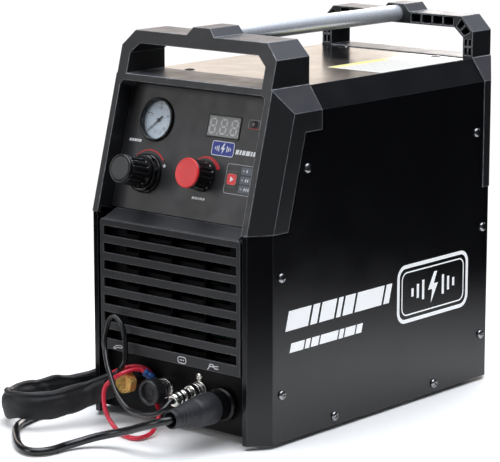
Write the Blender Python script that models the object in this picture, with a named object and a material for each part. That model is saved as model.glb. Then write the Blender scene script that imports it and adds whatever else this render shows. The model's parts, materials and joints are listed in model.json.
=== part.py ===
"""Inverter air-plasma cutter, 40 A class, with its leads plugged in.

All sizes are in millimetres and MM turns them into Blender's metres. Case coordinates have x to
the right, y from the front lips towards the rear and z up from the lower edge of the side sheets.
The part's origin is the centre of the floor pan's underside.
"""
import math
from itertools import combinations

import bmesh
import bpy
import numpy as np
from mathutils import Matrix, Vector

MM = 0.001
GAP = 0.3

# Case
HALF_WIDTH = 102.0
DEPTH = 345.0
CORNER_X = 13.3
CORNER_Y = 18.0
LEDGE_Z = 180.6
SHOULDER_Z = 279.1
DECK_Z = 298.7
HALF_DECK = 88.3
LEAN = 0.275
LEAN_ANGLE = math.atan(LEAN)
SHEET = 1.5
LIP_X = 85.2
LIP_DEPTH = 7.0
PAN_Z = 3.0
PAN_THICKNESS = 2.0
ORIGIN = Vector((0.0, DEPTH / 2, PAN_Z))

# Moulded end frames and their carrying loops
PROUD = 0.8
MOULDING = 3.0
BEZEL_STRIP = 36.6
BEZEL_STEP_Z = 262.3
FRONT_BEZEL_REAR = 81.2
REAR_BEZEL_FRONT = 317.1
LOOP_SIDE_Z = 323.3
LOOP_TOP_Z = 336.8
LOOP_TOP_X = 75.3
LOOP_BAR = 10.9
TUBE_RADIUS = 7.6
TUBE_Z = 334.6
SADDLE_BASE_X = 15.7
SADDLE_TOP_X = 9.5
SADDLE_TOP_Z = 343.8

# Front openings
OPENING_X = 82.9
OPENING_TOP_Z = 289.0
PANEL_DEPTH = 17.3
REAR_RECESS = 12.0
GRILLE_X = 81.0
GRILLE_BOTTOM_Z = 59.0
GRILLE_TOP_Z = 175.8
SLOT_COUNT = 7
SLOT_TOP_Z = 165.0
SLOT_PITCH = 15.4
SLOT_HEIGHT = 8.5
SLOT_X = 77.0
CONNECTOR_Y = 12.0
REAR_PANEL_Y = 331.5

# Feet
FOOT_X = 82.0
FOOT_Y = (38.0, 300.0)
FOOT_Z = -4.0
FOOT_RADIUS = 11.5

# Stations on the leaning panel: x and height z
GAUGE = (-48.8, 260.5)
REGULATOR = (-50.0, 214.4)
CURRENT = (14.8, 219.3)
DISPLAY = (28.7, 261.8)
MODE = (47.8, 220.2)
LAMP = (61.4, 266.9)
DISPLAY_HALF = (18.55, 9.6)
MODE_HALF = (6.0, 5.5)

# Stations on the connector plate
TORCH = (-42.0, 35.5)
PILOT = (-14.0, 31.4)
TRIGGER = (25.5, 36.2)
WORK = (53.3, 29.2)

PLUG_SAG = math.radians(5)

# Stations on the rear plate
FAN = (28.0, 95.0)
FAN_SIZE = 92.0
SWITCH = (45.0, 232.0)
INLET = (-62.0, 150.0)
CORD = (-62.0, 70.0)

# Side screws: y and z on each side sheet
SCREWS = {
    "front_upper": (62.4, 231.7),
    "front_middle": (28.8, 142.8),
    "front_lower": (29.7, 41.4),
    "rear_upper": (306.7, 232.8),
    "rear_middle": (318.2, 143.2),
    "rear_lower": (318.0, 40.9),
}

MATERIALS = {
    "black_paint": ((0.012, 0.012, 0.013), 0.32, 0.0),
    "dark_plastic": ((0.062, 0.062, 0.066), 0.55, 0.0),
    "panel_grey": ((0.050, 0.050, 0.055), 0.45, 0.0),
    "black_plastic": ((0.010, 0.010, 0.011), 0.35, 0.0),
    "rubber": ((0.015, 0.015, 0.016), 0.75, 0.0),
    "red_plastic": ((0.72, 0.03, 0.03), 0.35, 0.0),
    "red_wire": ((0.62, 0.02, 0.03), 0.40, 0.0),
    "aluminium": ((0.62, 0.66, 0.72), 0.30, 1.0),
    "nickel": ((0.70, 0.68, 0.64), 0.22, 1.0),
    "steel": ((0.45, 0.45, 0.46), 0.40, 1.0),
    "brass": ((0.72, 0.50, 0.20), 0.28, 1.0),
    "copper": ((0.80, 0.38, 0.22), 0.40, 1.0),
    "dial_white": ((0.80, 0.83, 0.86), 0.50, 0.0),
    "glass": ((0.85, 0.90, 0.92), 0.05, 0.0),
    "board_green": ((0.02, 0.16, 0.07), 0.45, 0.0),
    "fabric": ((0.020, 0.020, 0.024), 0.80, 0.0),
    "lamp_red": ((0.55, 0.02, 0.02), 0.20, 0.0),
}


# ---------------------------------------------------------------- scene and objects

def clear_scene():
    for item in list(bpy.data.objects):
        bpy.data.objects.remove(item, do_unlink=True)


def material(name):
    found = bpy.data.materials.get(name)
    if found:
        return found
    color, roughness, metallic = MATERIALS[name]
    made = bpy.data.materials.new(name)
    made.use_nodes = True
    shader = made.node_tree.nodes["Principled BSDF"]
    shader.inputs["Base Color"].default_value = (*color, 1.0)
    shader.inputs["Roughness"].default_value = roughness
    shader.inputs["Metallic"].default_value = metallic
    made.diffuse_color = (*color, 1.0)
    return made


def add_part(name, solid, finish, place=None, smooth=False):
    """Turn a solid in millimetres into an object; place carries its local frame into the case."""
    place = place or Matrix.Identity(4)
    bmesh.ops.recalc_face_normals(solid, faces=solid.faces)
    solid.transform(Matrix.Scale(MM, 4))
    mesh = bpy.data.meshes.new(name)
    solid.to_mesh(mesh)
    solid.free()
    mesh.materials.append(material(finish))
    if smooth:
        mesh.shade_smooth()
        mesh.set_sharp_from_angle(angle=math.radians(35))
    item = bpy.data.objects.new(name, mesh)
    item.matrix_world = Matrix.Translation((place.translation - ORIGIN) * MM) @ place.to_3x3().to_4x4()
    bpy.context.scene.collection.objects.link(item)
    return item


# ---------------------------------------------------------------- frames

def facing_front(x, y, z, lean=0.0):
    """A local frame whose x is the case's x, y runs up the face and z points out at the front."""
    up = Vector((0.0, math.sin(lean), math.cos(lean)))
    out = Vector((0.0, -math.cos(lean), math.sin(lean)))
    columns = Matrix((Vector((1.0, 0.0, 0.0)), up, out)).transposed()
    return Matrix.Translation((x, y, z)) @ columns.to_4x4()


def on_panel(x, z):
    """The frame of a station on the leaning control panel's front face."""
    y = LEAN * (z - LEDGE_Z) + PANEL_DEPTH / math.cos(LEAN_ANGLE)
    return facing_front(x, y, z, LEAN_ANGLE)


def on_connector_plate(station):
    return facing_front(station[0], CONNECTOR_Y, station[1])


def facing_rear(x, y, z):
    """A local frame whose z points out at the rear, y up and x to the case's left."""
    columns = Matrix(((-1.0, 0.0, 0.0), (0.0, 0.0, 1.0), (0.0, 1.0, 0.0)))
    return Matrix.Translation((x, y, z)) @ columns.transposed().to_4x4()


def facing_side(side, y, z):
    """A local frame whose z points out of the right (+1) or left (-1) side sheet."""
    columns = Matrix(((0.0, side, 0.0), (0.0, 0.0, 1.0), (side, 0.0, 0.0)))
    return Matrix.Translation((side * HALF_WIDTH, y, z)) @ columns.transposed().to_4x4()


def along_panel(z):
    """Distance up the panel from the ledge's height to height z."""
    return (z - LEDGE_Z) / math.cos(LEAN_ANGLE)


# ---------------------------------------------------------------- solids

def convex(points):
    """The closed convex solid around some points, with its flat faces merged."""
    solid = bmesh.new()
    for point in points:
        solid.verts.new(point)
    bmesh.ops.convex_hull(solid, input=solid.verts)
    loose = [v for v in solid.verts if not v.link_faces]
    bmesh.ops.delete(solid, geom=loose, context="VERTS")
    bmesh.ops.dissolve_limit(solid, angle_limit=0.002, verts=solid.verts, edges=solid.edges)
    return solid


def block(planes):
    """The convex solid behind every plane, each given as a point and an outward normal."""
    normals = np.array([Vector(n).normalized() for _, n in planes])
    offsets = np.array([Vector(n).normalized().dot(Vector(p)) for p, n in planes])
    corners = []
    for trio in combinations(range(len(planes)), 3):
        rows = normals[list(trio)]
        if abs(np.linalg.det(rows)) < 1e-6:
            continue
        corner = np.linalg.solve(rows, offsets[list(trio)])
        inside = (normals @ corner <= offsets + 1e-5).all()
        known = any(np.linalg.norm(corner - other) < 1e-3 for other in corners)
        if inside and not known:
            corners.append(corner)
    return convex(corners)


def box(x, y, z):
    return convex([(a, b, c) for a in x for b in y for c in z])


def prism(outline, axis, low, high):
    """An outline extruded along X (outline in y, z), Y (in x, z) or Z (in x, y)."""
    seat = {
        "X": lambda a, b, t: (t, a, b),
        "Y": lambda a, b, t: (a, t, b),
        "Z": lambda a, b, t: (a, b, t),
    }[axis]
    solid = bmesh.new()
    lower = [solid.verts.new(seat(a, b, low)) for a, b in outline]
    upper = [solid.verts.new(seat(a, b, high)) for a, b in outline]
    solid.faces.new(lower)
    solid.faces.new(list(reversed(upper)))
    for i in range(len(outline)):
        j = (i + 1) % len(outline)
        solid.faces.new((lower[i], upper[i], upper[j], lower[j]))
    bmesh.ops.recalc_face_normals(solid, faces=solid.faces)
    return solid


def lathe(profile, segments=32, closed=False, flutes=0, depth=0.0):
    """Turn a profile of (radius, height) round local z.

    An open profile starts and ends on the axis. A closed one makes a ring. A third value of 1
    marks a row whose radius dips by depth at each flute.
    """
    solid = bmesh.new()
    rings = []
    for row in profile:
        radius, height = row[0], row[1]
        if radius == 0:
            rings.append([solid.verts.new((0, 0, height))])
            continue
        ring = []
        for i in range(segments):
            angle = math.tau * i / segments
            wave = 0.5 + 0.5 * math.cos(flutes * angle) if len(row) > 2 and flutes else 0.0
            r = radius - depth * wave
            ring.append(solid.verts.new((r * math.cos(angle), r * math.sin(angle), height)))
        rings.append(ring)
    pairs = list(zip(rings, rings[1:]))
    if closed:
        pairs.append((rings[-1], rings[0]))
    for one, two in pairs:
        for i in range(segments):
            j = (i + 1) % segments
            corners = [one[i % len(one)], one[j % len(one)], two[j % len(two)], two[i % len(two)]]
            unique = list(dict.fromkeys(corners))
            if len(unique) > 2:
                solid.faces.new(unique)
    bmesh.ops.recalc_face_normals(solid, faces=solid.faces)
    return solid


def disc(radius, low, high, segments=32):
    return lathe([(0, low), (radius, low), (radius, high), (0, high)], segments)


def rounded_rectangle(half_x, half_y, radius, steps=3):
    """Outline points of a rectangle with round corners, counter-clockwise."""
    points = []
    for k, (sx, sy) in enumerate(((1, 1), (-1, 1), (-1, -1), (1, -1))):
        for i in range(steps + 1):
            angle = math.pi / 2 * (k + i / steps)
            x = sx * (half_x - radius) + radius * math.cos(angle)
            y = sy * (half_y - radius) + radius * math.sin(angle)
            points.append((x, y))
    return points


def smooth_path(points, steps):
    """Catmull-Rom curve through the points, with some steps between each pair."""
    knots = [Vector(p) for p in points]
    knots = [2 * knots[0] - knots[1]] + knots + [2 * knots[-1] - knots[-2]]
    path = []
    for i in range(1, len(knots) - 2):
        a, b, c, d = knots[i - 1:i + 3]
        for k in range(steps):
            t = k / steps
            path.append(0.5 * (2 * b + (c - a) * t + (2 * a - 5 * b + 4 * c - d) * t * t
                               + (3 * b - a - 3 * c + d) * t ** 3))
    path.append(knots[-2])
    return path


def sweep(path, section, upright=False):
    """Carry a section, given as (across, up) points, along a path."""
    solid = bmesh.new()
    rings = []
    across = None
    for i, point in enumerate(path):
        ahead = path[min(i + 1, len(path) - 1)] - path[max(i - 1, 0)]
        ahead.normalize()
        if upright or across is None:
            helper = Vector((0, 0, 1)) if abs(ahead.z) < 0.9 else Vector((0, 1, 0))
            across = ahead.cross(helper).normalized()
        else:
            across = (across - ahead * across.dot(ahead)).normalized()
        up = across.cross(ahead)
        rings.append([solid.verts.new(point + across * a + up * b) for a, b in section])
    count = len(section)
    solid.faces.new(rings[0])
    solid.faces.new(list(reversed(rings[-1])))
    for one, two in zip(rings, rings[1:]):
        for i in range(count):
            j = (i + 1) % count
            solid.faces.new((one[i], two[i], two[j], one[j]))
    bmesh.ops.recalc_face_normals(solid, faces=solid.faces)
    return solid


def cable(points, radius, steps=4, sides=8):
    section = [(radius * math.cos(math.tau * i / sides), radius * math.sin(math.tau * i / sides))
               for i in range(sides)]
    return sweep(smooth_path(points, steps), section)


def moved(solid, place):
    solid.transform(place)
    return solid


# ---------------------------------------------------------------- solid arithmetic

def temporary(solid):
    mesh = bpy.data.meshes.new("temporary")
    solid.to_mesh(mesh)
    solid.free()
    item = bpy.data.objects.new("temporary", mesh)
    bpy.context.scene.collection.objects.link(item)
    return item


def combine(operation, solid, *tools):
    """Union, difference or intersection of closed solids, one tool after the other."""
    base = temporary(solid)
    used = [temporary(tool) for tool in tools]
    for tool in used:
        step = base.modifiers.new("step", "BOOLEAN")
        step.operation = operation
        step.solver = "EXACT"
        step.object = tool
    bpy.context.view_layer.update()
    evaluated = base.evaluated_get(bpy.context.evaluated_depsgraph_get())
    result = bmesh.new()
    result.from_mesh(evaluated.to_mesh())
    for item in [base] + used:
        mesh = item.data
        bpy.data.objects.remove(item, do_unlink=True)
        bpy.data.meshes.remove(mesh)
    bmesh.ops.remove_doubles(result, verts=result.verts, dist=0.002)
    bmesh.ops.dissolve_limit(result, angle_limit=0.0015, verts=result.verts, edges=result.edges)
    return result


def cut(solid, *tools):
    return combine("DIFFERENCE", solid, *tools)


def join(solid, *tools):
    return combine("UNION", solid, *tools)


def keep(solid, *tools):
    return combine("INTERSECT", solid, *tools)


# ---------------------------------------------------------------- case shape

def case_planes(grow, bottom=0.0, front=0.0, rear=DEPTH):
    """The planes of the whole case, each moved out by grow.

    front and rear are the y of the flat ends before growing. A front of None leaves the case open
    towards the front, for shapes whose front is trimmed later.
    """
    corner = HALF_WIDTH - CORNER_X
    planes = [((0, rear, 0), (0, 1, 0)), ((0, 0, DECK_Z), (0, 0, 1))]
    if front is None:
        planes.append(((0, -40, 0), (0, -1, 0)))
    else:
        planes.append(((0, front, 0), (0, -1, 0)))
        planes.append(((0, front, LEDGE_Z), (0, -1, LEAN)))
    for side in (-1, 1):
        planes.append(((side * HALF_WIDTH, 0, 0), (side, 0, 0)))
        planes.append(((side * HALF_WIDTH, 0, SHOULDER_Z),
                       (side * (DECK_Z - SHOULDER_Z), 0, HALF_WIDTH - HALF_DECK)))
        planes.append(((side * corner, 0, 0), (side * CORNER_Y, -CORNER_X, 0)))
        planes.append(((side * corner, 0, LEDGE_Z), (side * CORNER_Y, -CORNER_X, LEAN * CORNER_X)))
        planes.append(((side * corner, DEPTH, 0), (side * CORNER_Y, CORNER_X, 0)))
    shifted = [(Vector(p) + Vector(n).normalized() * grow, n) for p, n in planes]
    return shifted + [((0, 0, bottom), (0, 0, -1))]


def front_bezel_outline(front, grow=0.0):
    """Side profile, in y and z, of the front end frame's region.

    front is how far its front edge stands out from the leaning face.
    """
    step_y = BEZEL_STRIP + LEAN * (BEZEL_STEP_Z - LEDGE_Z)
    shift = front / math.cos(LEAN_ANGLE)
    low, high = LEDGE_Z - grow, DECK_Z + 60
    return [
        (LEAN * (low - LEDGE_Z) - shift, low),
        (BEZEL_STRIP + grow, low),
        (step_y + grow, BEZEL_STEP_Z - grow),
        (FRONT_BEZEL_REAR + grow, BEZEL_STEP_Z - grow),
        (FRONT_BEZEL_REAR + grow, high),
        (LEAN * (high - LEDGE_Z) - shift, high),
    ]


def side_lips():
    """The folded edges of the side sheets that face the front."""
    lips = []
    for side in (-1, 1):
        x = sorted((side * LIP_X, side * (LIP_X - SHEET)))
        lips.append(box(x, (0.0, LIP_DEPTH), (0.0, LEDGE_Z - 1)))
        x = sorted((side * (LIP_X - SHEET), side * (LIP_X + 2)))
        lips.append(box(x, (0.0, SHEET), (0.0, LEDGE_Z - 1)))
    return lips


def outer_cover():
    shell = cut(
        block(case_planes(0.0)),
        block(case_planes(-SHEET, bottom=-50)),
        box((-LIP_X, LIP_X), (-20, LIP_DEPTH + 5), (-20, LEDGE_Z)),
        box((-LIP_X, LIP_X), (DEPTH - 10, DEPTH + 20), (-20, LEDGE_Z)),
        prism(front_bezel_outline(30, GAP), "X", -150, 150),
        box((-150, 150), (REAR_BEZEL_FRONT - GAP, DEPTH + 50), (LEDGE_Z - GAP, DECK_Z + 50)),
    )
    shell = join(shell, *side_lips())
    bores = []
    for y, z in SCREWS.values():
        bores.append(moved(disc(2.3, -6, 4, 10), facing_side(1, y, z)))
    return cut(shell, *bores)


def loop_prism():
    """Outline of a carrying loop with the saddle over the tube, run through the case's depth."""
    half = [(HALF_DECK, DECK_Z - 4), (HALF_DECK, LOOP_SIDE_Z), (LOOP_TOP_X, LOOP_TOP_Z),
            (SADDLE_BASE_X, LOOP_TOP_Z), (SADDLE_TOP_X, SADDLE_TOP_Z)]
    outline = half + [(-x, z) for x, z in reversed(half)]
    return prism(outline, "Y", -60, 420)


def hand_opening(low, high):
    """The opening under a loop's bar, between its posts."""
    post = HALF_DECK - LOOP_BAR
    bar_z = LOOP_TOP_Z - LOOP_BAR
    outline = [(-post, DECK_Z + PROUD), (post, DECK_Z + PROUD), (post, bar_z - 8.6),
               (post - 9.6, bar_z), (9.6 - post, bar_z), (-post, bar_z - 8.6)]
    return prism(outline, "Y", low, high)


def loop_cells(low, high):
    """Pockets between the loop's ribs, open on the side that faces the tube."""
    wall = 1.6
    post = HALF_DECK - LOOP_BAR
    bar_low = LOOP_TOP_Z - LOOP_BAR + wall
    bar_high = LOOP_TOP_Z - wall
    corner_inside = ((post, LOOP_TOP_Z - LOOP_BAR - 8.6), (post - 9.6, LOOP_TOP_Z - LOOP_BAR))
    corner_outside = ((HALF_DECK, LOOP_SIDE_Z), (LOOP_TOP_X, LOOP_TOP_Z))
    edges = [17.0, 29.5, 42.0, 54.5, 67.0]
    cells = []
    for side in (-1, 1):
        for near, far in zip(edges, edges[1:]):
            x = sorted((side * (near + 0.8), side * (far - 0.8)))
            cells.append(box(x, (low, high), (bar_low, bar_high)))
        for start, end in ((0.06, 0.46), (0.56, 0.92)):
            corners = [along(corner_inside, corner_outside, run, rise)
                       for run, rise in ((start, 0.16), (end, 0.16), (end, 0.84), (start, 0.84))]
            cells.append(prism([(side * x, z) for x, z in corners], "Y", low, high))
        middle = HALF_DECK - LOOP_BAR / 2
        for near, far in ((post + wall, middle - 0.7), (middle + 0.7, HALF_DECK - wall)):
            x = sorted((side * near, side * far))
            cells.append(box(x, (low, high), (DECK_Z + 2.4, DECK_Z + 9.4)))
            cells.append(box(x, (low, high), (DECK_Z + 10.8, DECK_Z + 17.2)))
    return cells


def along(inside, outside, run, rise):
    """A point at a fraction of the way along two lines and at a fraction of the way between them."""
    spots = [tuple(a + (b - a) * run for a, b in zip(*line)) for line in (inside, outside)]
    return tuple(a + (b - a) * rise for a, b in zip(*spots))


def opening_outline(half_x, low, high, radius):
    """A window with round upper corners, in panel coordinates."""
    points = [(-half_x, low), (half_x, low)]
    for side, start in ((1, 0.0), (-1, math.pi / 2)):
        for i in range(4):
            angle = start + math.pi / 2 * i / 3
            points.append((side * (half_x - radius) + radius * math.cos(angle),
                           high - radius + radius * math.sin(angle)))
    return points


def front_bezel():
    body = join(block(case_planes(PROUD, bottom=100, front=None)), loop_prism())
    body = keep(body, prism(front_bezel_outline(PROUD), "X", -150, 150))
    body = cut(body, block(case_planes(PROUD - MOULDING, bottom=50)))
    window_top = along_panel(OPENING_TOP_Z)
    face = on_panel(0, LEDGE_Z)
    tunnel = moved(prism(opening_outline(OPENING_X + MOULDING, 0.5, window_top + MOULDING, 6),
                         "Z", GAP, PANEL_DEPTH - 1), face)
    window = moved(prism(opening_outline(OPENING_X, -30, window_top, 5), "Z", -8, 40), face)
    bore = moved(disc(TUBE_RADIUS + GAP, -100, -54, 24), facing_front(0, 0, TUBE_Z))
    return cut(join(body, tunnel), window, hand_opening(-20, 120), bore, *loop_cells(48, 120))


def rear_bezel():
    body = join(block(case_planes(PROUD, bottom=100, rear=DEPTH + 20)), loop_prism())
    body = keep(body, box((-150, 150), (REAR_BEZEL_FRONT, DEPTH + PROUD), (LEDGE_Z, DECK_Z + 60)))
    body = cut(body, block(case_planes(PROUD - MOULDING, bottom=50)))
    tunnel = prism(opening_outline(OPENING_X + MOULDING, LEDGE_Z + 0.5, OPENING_TOP_Z + MOULDING, 6),
                   "Y", REAR_PANEL_Y + SHEET + GAP, DEPTH - 1)
    window = prism(opening_outline(OPENING_X, LEDGE_Z - 20, OPENING_TOP_Z, 5), "Y",
                   REAR_PANEL_Y - 10, DEPTH + 20)
    bore = moved(disc(TUBE_RADIUS + GAP, -340, -300, 24), facing_front(0, 0, TUBE_Z))
    return cut(join(body, tunnel), window, hand_opening(300, 380), bore, *loop_cells(300, DEPTH - 3))


def handle_tube():
    outer = [(TUBE_RADIUS - 1.5, -339), (TUBE_RADIUS, -339), (TUBE_RADIUS, -55), (TUBE_RADIUS - 1.5, -55)]
    return lathe(outer, 24, closed=True)


def base_plate():
    plate = box((-99.5, 99.5), (14.5, REAR_PANEL_Y - 0.8), (PAN_Z, PAN_Z + PAN_THICKNESS))
    flanges = []
    for side in (-1, 1):
        x = sorted((side * 98.2, side * 99.7))
        flanges.append(box(x, (22, 322), (PAN_Z, 19)))
    pan = keep(join(plate, *flanges), block(case_planes(-SHEET - GAP, bottom=-50)))
    seats = []
    for x, y in foot_places():
        place = Matrix.Translation((x, y, 0))
        seats.append(moved(disc(FOOT_RADIUS + 1.5, 0, PAN_Z + 1, 24), place))
        seats.append(moved(disc(2.8, 0, 20, 12), place))
    return cut(pan, *seats)


def foot_places():
    return [(side * FOOT_X, y) for y in FOOT_Y for side in (-1, 1)]


def foot():
    top = PAN_Z + 1 - GAP
    return lathe([(0, FOOT_Z), (FOOT_RADIUS - 1.5, FOOT_Z), (FOOT_RADIUS, FOOT_Z + 1.5),
                  (FOOT_RADIUS, top), (2.5, top), (2.5, 8), (0, 8)], 24)


# ---------------------------------------------------------------- panels

def front_grille():
    profile = [(GAP, GRILLE_BOTTOM_Z), (GAP, GRILLE_TOP_Z - 1), (GAP + 1, GRILLE_TOP_Z),
               (17.2, 182.7), (17.2, 178), (CONNECTOR_Y - GAP, 174), (CONNECTOR_Y - GAP, GRILLE_BOTTOM_Z)]
    outline = [(GRILLE_X, GRILLE_BOTTOM_Z)]
    arc = [(GRILLE_X - 4 + 4 * math.cos(a), GRILLE_TOP_Z - 4 + 4 * math.sin(a))
           for a in (0, math.pi / 6, math.pi / 3, math.pi / 2)]
    outline += arc + [(GRILLE_X - 4, 190)]
    outline += [(-x, z) for x, z in reversed(outline)]
    body = keep(prism(profile, "X", -GRILLE_X, GRILLE_X), prism(outline, "Y", -10, 40))
    cavity = box((-78.6, 78.6), (3, 30), (61.5, 171.5))
    body = cut(body, cavity)
    webs = [box((x - 0.8, x + 0.8), (2.5, CONNECTOR_Y - GAP), (61, 172)) for x in (-38.5, 0.0, 38.5)]
    body = join(body, *webs)
    slots = []
    for i in range(SLOT_COUNT):
        z = SLOT_TOP_Z - i * SLOT_PITCH
        slots.append(box((-SLOT_X, SLOT_X), (-5, 4.2), (z - SLOT_HEIGHT / 2, z + SLOT_HEIGHT / 2)))
    return cut(body, *slots)


def control_panel():
    """Leaning plate with the holes of its controls; built in the panel's own frame."""
    top = along_panel(OPENING_TOP_Z) + 3.6
    plate = box((-OPENING_X - 2.6, OPENING_X + 2.6), (2.6, top), (-2, 0))
    holes = []
    for (x, z), radius in ((GAUGE, 19.6), (REGULATOR, 8.0), (CURRENT, 4.9), (LAMP, 2.8)):
        holes.append(moved(disc(radius, -8, 8, 24), Matrix.Translation((x, along_panel(z), 0))))
    for (x, z), (half_x, half_y) in ((DISPLAY, DISPLAY_HALF), (MODE, MODE_HALF)):
        y = along_panel(z)
        holes.append(box((x - half_x - GAP, x + half_x + GAP), (y - half_y - GAP, y + half_y + GAP), (-8, 8)))
    return cut(plate, *holes)


def connector_panel():
    plate = box((-93, 93), (CONNECTOR_Y, CONNECTOR_Y + SHEET), (PAN_Z + GAP, 173.5))
    holes = []
    for (x, z), radius in ((TORCH, 6.6), (PILOT, 4.6), (TRIGGER, 6.4), (WORK, 12.0)):
        holes.append(moved(disc(radius, -20, 20, 24), facing_front(x, CONNECTOR_Y, z)))
    vents = []
    for i in range(SLOT_COUNT):
        z = SLOT_TOP_Z - i * SLOT_PITCH
        vents.append(box((-60, 60), (0, 30), (z - 3, z + 3)))
    return cut(plate, *holes, *vents)


def rear_panel():
    outline = [(-93, PAN_Z + GAP), (93, PAN_Z + GAP), (93, 284), (88, 291), (-88, 291), (-93, 284)]
    plate = prism(outline, "Y", REAR_PANEL_Y, REAR_PANEL_Y + SHEET)
    tools = []
    for i in range(-4, 5):
        half = math.sqrt(42 ** 2 - (9.5 * i) ** 2)
        z = FAN[1] + 9.5 * i
        tools.append(box((FAN[0] - half, FAN[0] + half), (300, 360), (z - 2.4, z + 2.4)))
    for (x, z), radius in ((INLET, 7.0), (CORD, 8.0)):
        tools.append(moved(disc(radius, -20, 20, 24), facing_rear(x, REAR_PANEL_Y, z)))
    x, z = SWITCH
    tools.append(box((x - 13.6, x + 13.6), (300, 360), (z - 10.6, z + 10.6)))
    return cut(plate, *tools)


# ---------------------------------------------------------------- controls on the leaning panel

def add_gauge():
    place = on_panel(*GAUGE)
    case = lathe([(0, -22), (19.3, -22), (19.3, 2.2), (18.6, 2.8), (17.2, 2.2), (17.2, -4), (3, -4),
                  (3, -10), (0, -10)], 36)
    add_part("gauge_case", case, "black_plastic", place, True)
    dial = lathe([(1.2, -3.7), (16.8, -3.7), (16.8, -3.0), (1.2, -3.0)], 36, closed=True)
    add_part("gauge_dial", dial, "dial_white", place, True)
    lens = lathe([(0, 0.2), (16.9, 0.2), (16.9, 1.4), (0, 1.6)], 36)
    add_part("gauge_lens", lens, "glass", place, True)
    hub = lathe([(0, -8), (0.8, -8), (0.8, -2.6), (2.0, -2.6), (2.0, -1.4), (0, -1.4)], 16)
    pointer = prism([(-1.0, -4.5), (1.0, -4.5), (0.35, 13.2), (-0.35, 13.2)], "Z", -2.4, -1.7)
    needle = join(hub, moved(pointer, Matrix.Rotation(math.radians(133), 4, "Z")))
    add_part("gauge_needle", needle, "black_plastic", place)


def add_regulator():
    place = on_panel(*REGULATOR)
    body = join(box((-21, 21), (-21, 21), (-52, -2.3)), disc(14, -66, -50, 24))
    body = cut(body, disc(4.6, -14, 10, 20))
    add_part("regulator_body", body, "aluminium", place)
    ring = lathe([(5, GAP), (17.4, GAP), (17.4, 2.6), (16.4, 3.0, 1), (16.4, 7.6, 1), (5, 7.6)],
                 48, closed=True, flutes=8, depth=1.6)
    add_part("regulator_ring", ring, "black_plastic", place, True)
    add_part("regulator_spindle", disc(4.2, -13, 30, 20), "brass", place, True)
    knob = lathe([(0, 35.2), (11.6, 35.2), (12.5, 34.4), (12.5, 32.4), (11.7, 31.8), (11.7, 30.8),
                  (12.9, 30.0, 1), (13.1, 12.5, 1), (14.2, 10.5), (14.2, 8.2), (4.5, 8.2), (4.5, 31),
                  (0, 31)],
                 30, flutes=15, depth=0.7)
    add_part("regulator_knob", knob, "black_plastic", place, True)


def add_current_control():
    place = on_panel(*CURRENT)
    pot = lathe([(0, -12), (8.3, -12), (8.3, -2.3), (4.6, -2.3), (4.6, 0.4), (3.3, 0.4), (3.3, -9),
                 (0, -9)], 24)
    add_part("current_pot", pot, "nickel", place, True)
    add_part("current_shaft", disc(3.0, -8.6, 16, 16), "aluminium", place, True)
    knob = lathe([(0, 19.7), (12.4, 19.7), (12.9, 19.2), (12.9, 18.0), (12.3, 17.4, 1), (12.7, 3.0, 1),
                  (13.6, 2.0), (13.6, 0.7), (3.3, 0.7), (3.3, 16.5), (0, 16.5)],
                 30, flutes=15, depth=0.6)
    add_part("current_knob", knob, "black_plastic", place, True)
    cap = lathe([(0, 22.2), (12.4, 22.0), (13.0, 21.4), (13.0, 20.0), (0, 20.0)], 40)
    add_part("current_knob_cap", cap, "red_plastic", place, True)


def add_display():
    half_x, half_y = DISPLAY_HALF
    body = box((-half_x, half_x), (-half_y, half_y), (-9, 0.8))
    recess = box((1.6 - half_x, half_x - 1.6), (1.6 - half_y, half_y - 1.6), (-0.3, 5))
    add_part("display_module", cut(body, recess), "dial_white", on_panel(*DISPLAY))


def add_mode_button():
    half_x, half_y = MODE_HALF
    body = prism(rounded_rectangle(half_x, half_y, 1.2), "Z", -7, 1.4)
    add_part("mode_button", body, "red_plastic", on_panel(*MODE))


def add_lamp():
    dome = [(2.5 * math.cos(a), 0.4 + 1.6 * math.sin(a)) for a in (0.0, 0.4, 0.8, 1.2)]
    body = lathe([(0, -6), (2.5, -6)] + dome + [(0, 2.0)], 16)
    add_part("power_indicator", body, "lamp_red", on_panel(*LAMP), True)


def add_control_board():
    board = box((3, 80), (18, 102), (-18, -16.4))
    connector = box((40, 70), (50, 58), (-26, -17))
    chip = box((12, 26), (30, 44), (-20.5, -17))
    add_part("control_board", join(board, connector, chip), "board_green", on_panel(0, LEDGE_Z))


# ---------------------------------------------------------------- front connections

def hexagon(across_flats, turn=0.0):
    radius = across_flats / math.sqrt(3)
    return [(radius * math.cos(math.radians(60 * i) + turn), radius * math.sin(math.radians(60 * i) + turn))
            for i in range(6)]


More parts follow.
